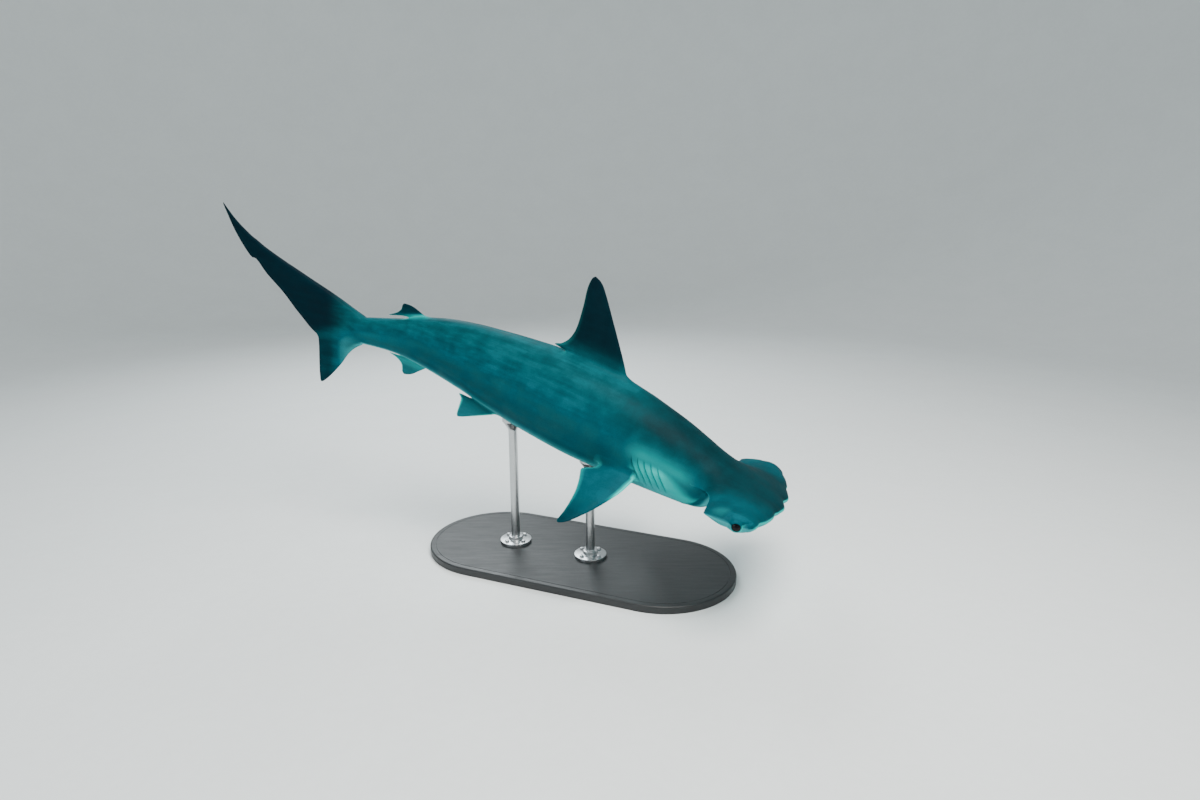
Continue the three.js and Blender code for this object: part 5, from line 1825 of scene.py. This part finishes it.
def eye_material(settings):
    """A wet eye with a tall pupil in a fibrous iris. Its places are in eye radii: out, ahead and up."""
    material, nodes, shader = start_material("shark_eye")
    place = nodes.attribute("eye_place", "Vector")
    flat = nodes.stretched(place, (0.0, 1.0, 1.0))
    tall = nodes.stretched(place, (0.0, 1.0, PUPIL_STRETCH))
    reach = nodes.add("ShaderNodeVectorMath", {0: flat}, operation="LENGTH").outputs["Value"]
    pupil_reach = nodes.add("ShaderNodeVectorMath", {0: tall}, operation="LENGTH").outputs["Value"]
    spokes = nodes.add("ShaderNodeVectorMath", {0: flat}, operation="NORMALIZE").outputs[0]
    fibres = nodes.noise(spokes, *IRIS_FIBRES)
    mottle = nodes.noise(place, *IRIS_MOTTLE)
    dark = rgba(settings.iris_dark)
    iris = nodes.blend(nodes.range(fibres, *IRIS_FIBRE_EDGE), rgba(settings.iris_color), dark)
    iris = nodes.blend(nodes.range(mottle, *IRIS_MOTTLE_RANGE), iris, dark)
    color = nodes.blend(nodes.range(reach, *IRIS_RIM), iris, rgba(settings.rim_color))
    edge = [settings.pupil_share + soft for soft in PUPIL_EDGE]
    pupil = nodes.range(pupil_reach, *edge, 1.0, 0.0)
    color = nodes.blend(pupil, color, rgba(settings.pupil_color))
    nodes.feed(shader, {"Base Color": color, **EYE_SHINE})
    return material


# The settings


def color_setting(name, description, default):
    return FloatVectorProperty(
        name=name, description=description, default=default, min=0, max=1, subtype="COLOR")


class SharkSkinSettings(bpy.types.PropertyGroup):
    total_length: FloatProperty(
        name="Total Length", description="Length along the spine, from the snout to the tip of the tail",
        default=2.5, min=1.0, max=4.5, unit="LENGTH")
    back_color: color_setting(
        name="Back", description="Colour of the back", default=(0.001, 0.068, 0.082))
    crown_color: color_setting(
        name="Crown", description="Colour of the top of the head and the nape",
        default=(0.002, 0.0275, 0.034))
    flank_color: color_setting(
        name="Flank", description="Colour of the flanks", default=(0.001, 0.068, 0.09))
    belly_color: color_setting(
        name="Belly", description="Colour of the underside", default=(0.04, 0.33, 0.35))
    # Also the colour of the painted light and highlights over the gills, by the eyes and on the wings.
    pale_and_light_color: color_setting(
        name="Pale Edges", description="Colour of the pale fin edges and the front of the hammer",
        default=(0.008, 0.6, 0.55))
    # Also the colour of the painted shade low on the flank.
    dusk_color: color_setting(
        name="Dusky Tips", description="Colour of the stained tips of the fins",
        default=(0.001, 0.006, 0.012))
    # Painted shade deep in the slits, mouth and nostrils, and round the eyes.
    recess_color: color_setting(
        name="Slits", description="Colour deep in the gill slits, mouth and nostrils",
        default=(0.001, 0.012, 0.017))
    roughness: FloatProperty(
        name="Roughness", description="How dull the skin is",
        default=0.6, min=0.1, max=0.9, subtype="FACTOR")
    wet_coat: FloatProperty(
        name="Wet Coat", description="Strength of the thin gloss over the skin",
        default=0.015, min=0, max=1, subtype="FACTOR")


class SharkEyeSettings(bpy.types.PropertyGroup):
    pupil_share: FloatProperty(
        name="Pupil", description="Radius of the pupil, as a share of the eye's",
        default=0.46, min=0.1, max=0.6, subtype="FACTOR")
    iris_color: color_setting(
        name="Iris", description="Light colour of the iris", default=(0.007, 0.008, 0.007))
    iris_dark: color_setting(
        name="Iris Fibres", description="Dark colour of the iris", default=(0.002, 0.0025, 0.0025))
    rim_color: color_setting(
        name="Rim", description="Colour round the iris", default=(0.012, 0.013, 0.014))
    pupil_color: color_setting(
        name="Pupil Colour", description="Colour of the pupil", default=(0.002, 0.002, 0.003))


class SharkStandSettings(bpy.types.PropertyGroup):
    base_length: FloatProperty(
        name="Base Length", description="Length of the base",
        default=1.24, min=0.5, max=3, unit="LENGTH")
    base_width: FloatProperty(
        name="Base Width", description="Width of the base",
        default=0.56, min=0.2, max=1.5, unit="LENGTH")
    base_height: FloatProperty(
        name="Base Height", description="Height of the base",
        default=0.028, min=0.01, max=0.1, unit="LENGTH")
    edge_radius: FloatProperty(
        name="Edge Radius", description="Rounding of the base's top edge",
        default=0.006, min=0.001, max=0.01, unit="LENGTH")
    rod_radius: FloatProperty(
        name="Rod Radius", description="Radius of each rod",
        default=0.017, min=0.005, max=0.05, unit="LENGTH")
    cup_radius: FloatProperty(
        name="Cup Radius", description="Radius of the cup on top of each rod",
        default=0.04, min=0.02, max=0.1, unit="LENGTH")
    pad_thickness: FloatProperty(
        name="Pad Thickness", description="Thickness of the pad between cup and belly",
        default=0.003, min=0.001, max=0.01, unit="LENGTH")
    bolt_count: IntProperty(
        name="Bolts", description="Bolts that hold each flange", default=4, min=3, max=12)
    bolt_circle: FloatProperty(
        name="Bolt Circle", description="Radius of the circle of bolts",
        default=0.046, min=0.03, max=0.055, unit="LENGTH")
    bolt_radius: FloatProperty(
        name="Bolt Radius", description="Radius over the corners of a bolt's head",
        default=0.008, min=0.004, max=0.012, unit="LENGTH")
    bolt_height: FloatProperty(
        name="Bolt Height", description="Height of a bolt's head with its washer",
        default=0.008, min=0.003, max=0.012, unit="LENGTH")
    board_color: color_setting(
        name="Board", description="Colour of the base", default=(0.009, 0.01, 0.011))
    steel_color: color_setting(
        name="Steel", description="Colour of the rods and bolts", default=(0.55, 0.56, 0.57))
    pad_color: color_setting(
        name="Pads", description="Colour of the pads", default=(0.02, 0.02, 0.021))


class SharkStageSettings(bpy.types.PropertyGroup):
    camera_place: FloatVectorProperty(
        name="Camera", description="Where the camera stands",
        default=(0.088, -2.7865, 1.39125), subtype="TRANSLATION", unit="LENGTH")
    camera_tilt: FloatProperty(
        name="Camera Tilt", description="How far the camera looks down",
        default=math.radians(15), subtype="ANGLE")
    camera_view: FloatProperty(
        name="View Angle", description="Width of the camera's view",
        default=math.radians(75), subtype="ANGLE")
    floor_radius: FloatProperty(
        name="Floor Radius", description="How far the wall round the floor stands off",
        default=9.0, unit="LENGTH")
    floor_bend: FloatProperty(
        name="Floor Bend", description="Radius of the bend between floor and wall",
        default=3.5, unit="LENGTH")
    wall_height: FloatProperty(
        name="Wall Height", description="Height of the wall round the floor",
        default=6.0, unit="LENGTH")
    floor_color: color_setting(
        name="Floor", description="Colour of the floor and backdrop", default=(0.8, 0.83, 0.83))
    sky_color: color_setting(
        name="Fill Light", description="Colour of the light from all sides", default=(0.78, 0.88, 0.92))
    sky_strength: FloatProperty(
        name="Fill Strength", description="Strength of the light from all sides",
        default=0.42, min=0, max=5)
    key_power: FloatProperty(
        name="Key Light", description="Power of the large light overhead",
        default=300.0, min=0, unit="POWER")


# The operators


class SHARK_OT_build_skin(bpy.types.Operator):
    """Build the shark's skin in one piece, with its fins, lids, mouth, nostrils and gill slits"""
    bl_idname = "shark.build_skin"
    bl_label = "Skin"
    bl_options = {"REGISTER", "UNDO"}

    def execute(self, context):
        settings = context.scene.shark_skin
        skin = add_piece(build_skin_mesh(settings.total_length), skin_material(settings))
        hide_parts(*FLESH_NODES)
        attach(skin, "root")
        return {"FINISHED"}


class SHARK_OT_build_eyes(bpy.types.Operator):
    """Build the two eyeballs"""
    bl_idname = "shark.build_eyes"
    bl_label = "Eyes"
    bl_options = {"REGISTER", "UNDO"}

    def execute(self, context):
        settings = context.scene.shark_eyes
        total_length = context.scene.shark_skin.total_length
        material = eye_material(settings)
        for side, name in ((1, "eye_left"), (-1, "eye_right")):
            eye = add_piece(eye_mesh("shark_" + name, side, total_length), material)
            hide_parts(name)
            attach(eye, "root")
        return {"FINISHED"}


class SHARK_OT_build_base(bpy.types.Operator):
    """Build the flat base of the stand"""
    bl_idname = "shark.build_base"
    bl_label = "Stand Base"
    bl_options = {"REGISTER", "UNDO"}

    def execute(self, context):
        settings = context.scene.shark_stand
        material = grained_material("stand_board", settings.board_color, **BOARD_FINISH)
        base = add_piece(base_mesh("stand_board", settings), material, BOARD_SHARP)
        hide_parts("stand_base")
        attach(base, "root")
        return {"FINISHED"}


class SHARK_OT_build_rods(bpy.types.Operator):
    """Build the two rods with their flanges and cups, and the pads under the belly"""
    bl_idname = "shark.build_rods"
    bl_label = "Rods and Pads"
    bl_options = {"REGISTER", "UNDO"}

    def execute(self, context):
        settings = context.scene.shark_stand
        skin = bpy.data.objects.get("shark_skin")
        if skin is None:
            raise RuntimeError("The skin has to be built before the rods")
        points = [vertex.co for vertex in skin.data.vertices]
        belly = BVHTree.FromPolygons(points, [polygon.vertices for polygon in skin.data.polygons])
        steel = grained_material("stand_steel_turned", settings.steel_color, **STEEL_FINISH)
        rubber = grained_material("stand_pad", settings.pad_color, **PAD_FINISH)
        total_length = context.scene.shark_skin.total_length
        for name in ("front", "rear"):
            centre = rod_centre(name, total_length)
            rod = rod_mesh(f"stand_rod_{name}_turned", settings, centre, belly)
            rod_piece = add_piece(rod, steel, ROD_SHARP)
            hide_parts(f"stand_rod_{name}")
            pad = pad_mesh(f"stand_pad_{name}", settings, centre, belly)
            pad_piece = add_piece(pad, rubber, PAD_SHARP)
            for piece in (rod_piece, pad_piece):
                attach(piece, "root")
        return {"FINISHED"}


class SHARK_OT_build_bolts(bpy.types.Operator):
    """Set a circle of bolts on the flange of each rod"""
    bl_idname = "shark.build_bolts"
    bl_label = "Bolts"
    bl_options = {"REGISTER", "UNDO"}

    def execute(self, context):
        settings = context.scene.shark_stand
        total_length = context.scene.shark_skin.total_length
        steel = grained_material("stand_steel_bolts", settings.steel_color, **STEEL_FINISH)
        bolts = add_piece(bolt_mesh("stand_bolts", settings), steel, BOLT_SHARP)
        faces = len(bolts.data.polygons)
        tree = bolt_circles(steel)
        modifier = bolts.modifiers.new("bolt_circles", "NODES")
        modifier.node_group = tree
        flange_top = settings.base_height + FLANGE_HEIGHT
        values = {
            "Count": settings.bolt_count, "Circle Radius": settings.bolt_circle, "Seed": BOLT_SEED,
            "Front Place": (*rod_centre("front", total_length), flange_top),
            "Rear Place": (*rod_centre("rear", total_length), flange_top)}
        for socket in tree.interface.items_tree:
            if socket.in_out == "INPUT" and socket.name in values:
                modifier[socket.identifier] = values[socket.name]
        made = bpy.data.meshes.new_from_object(bolts.evaluated_get(context.evaluated_depsgraph_get()))
        if len(made.polygons) < 2 * settings.bolt_count * faces:
            raise RuntimeError("The circles of bolts are not whole")
        bolts.modifiers.remove(modifier)
        bolts.data = made
        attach(bolts, "root")
        return {"FINISHED"}


class SHARK_OT_build_stage(bpy.types.Operator):
    """Set up the floor and backdrop, the soft studio lights and the camera"""
    bl_idname = "shark.build_stage"
    bl_label = "Stage"
    bl_options = {"REGISTER", "UNDO"}

    def execute(self, context):
        settings = context.scene.shark_stage
        material = grained_material("stage_floor", settings.floor_color, **FLOOR_FINISH)
        add_piece(bowl_mesh("stage_floor", settings), material)
        add_lights(settings)
        camera_data = bpy.data.cameras.new("camera")
        camera_data.sensor_width = 36
        camera_data.angle = settings.camera_view
        camera_data.dof.use_dof = False
        camera = add_object("camera", camera_data)
        camera.location = settings.camera_place
        camera.rotation_euler = (math.radians(90) - settings.camera_tilt, 0, 0)
        context.scene.camera = camera
        return {"FINISHED"}


class SHARK_PT_panel(bpy.types.Panel):
    """The pieces of the shark and its stand, with their settings"""
    bl_idname = "SHARK_PT_panel"
    bl_label = "Hammerhead Shark"
    bl_space_type = "VIEW_3D"
    bl_region_type = "UI"
    bl_category = "Shark"

    def draw(self, context):
        for group, operators in PANEL_ROWS:
            box = self.layout.box()
            settings = getattr(context.scene, group)
            for name in settings.__annotations__:
                box.prop(settings, name)
            for operator in operators:
                box.operator(operator)


SETTING_GROUPS = {
    "shark_skin": SharkSkinSettings,
    "shark_eyes": SharkEyeSettings,
    "shark_stand": SharkStandSettings,
    "shark_stage": SharkStageSettings,
}
PANEL_ROWS = (
    ("shark_skin", ("shark.build_skin",)),
    ("shark_eyes", ("shark.build_eyes",)),
    ("shark_stand", ("shark.build_base", "shark.build_rods", "shark.build_bolts")),
    ("shark_stage", ("shark.build_stage",)),
)
CLASSES = (
    *SETTING_GROUPS.values(),
    SHARK_OT_build_skin,
    SHARK_OT_build_eyes,
    SHARK_OT_build_base,
    SHARK_OT_build_rods,
    SHARK_OT_build_bolts,
    SHARK_OT_build_stage,
    SHARK_PT_panel,
)


def register():
    for one_class in CLASSES:
        bpy.utils.register_class(one_class)
    for name, group in SETTING_GROUPS.items():
        setattr(bpy.types.Scene, name, PointerProperty(type=group))


def unregister():
    for name in SETTING_GROUPS:
        delattr(bpy.types.Scene, name)
    for one_class in reversed(CLASSES):
        bpy.utils.unregister_class(one_class)


def main():
    register()
    for _, operators in PANEL_ROWS:
        for operator in operators:
            group, name = operator.split(".")
            getattr(getattr(bpy.ops, group), name)()


if __name__ == "__main__":
    main()
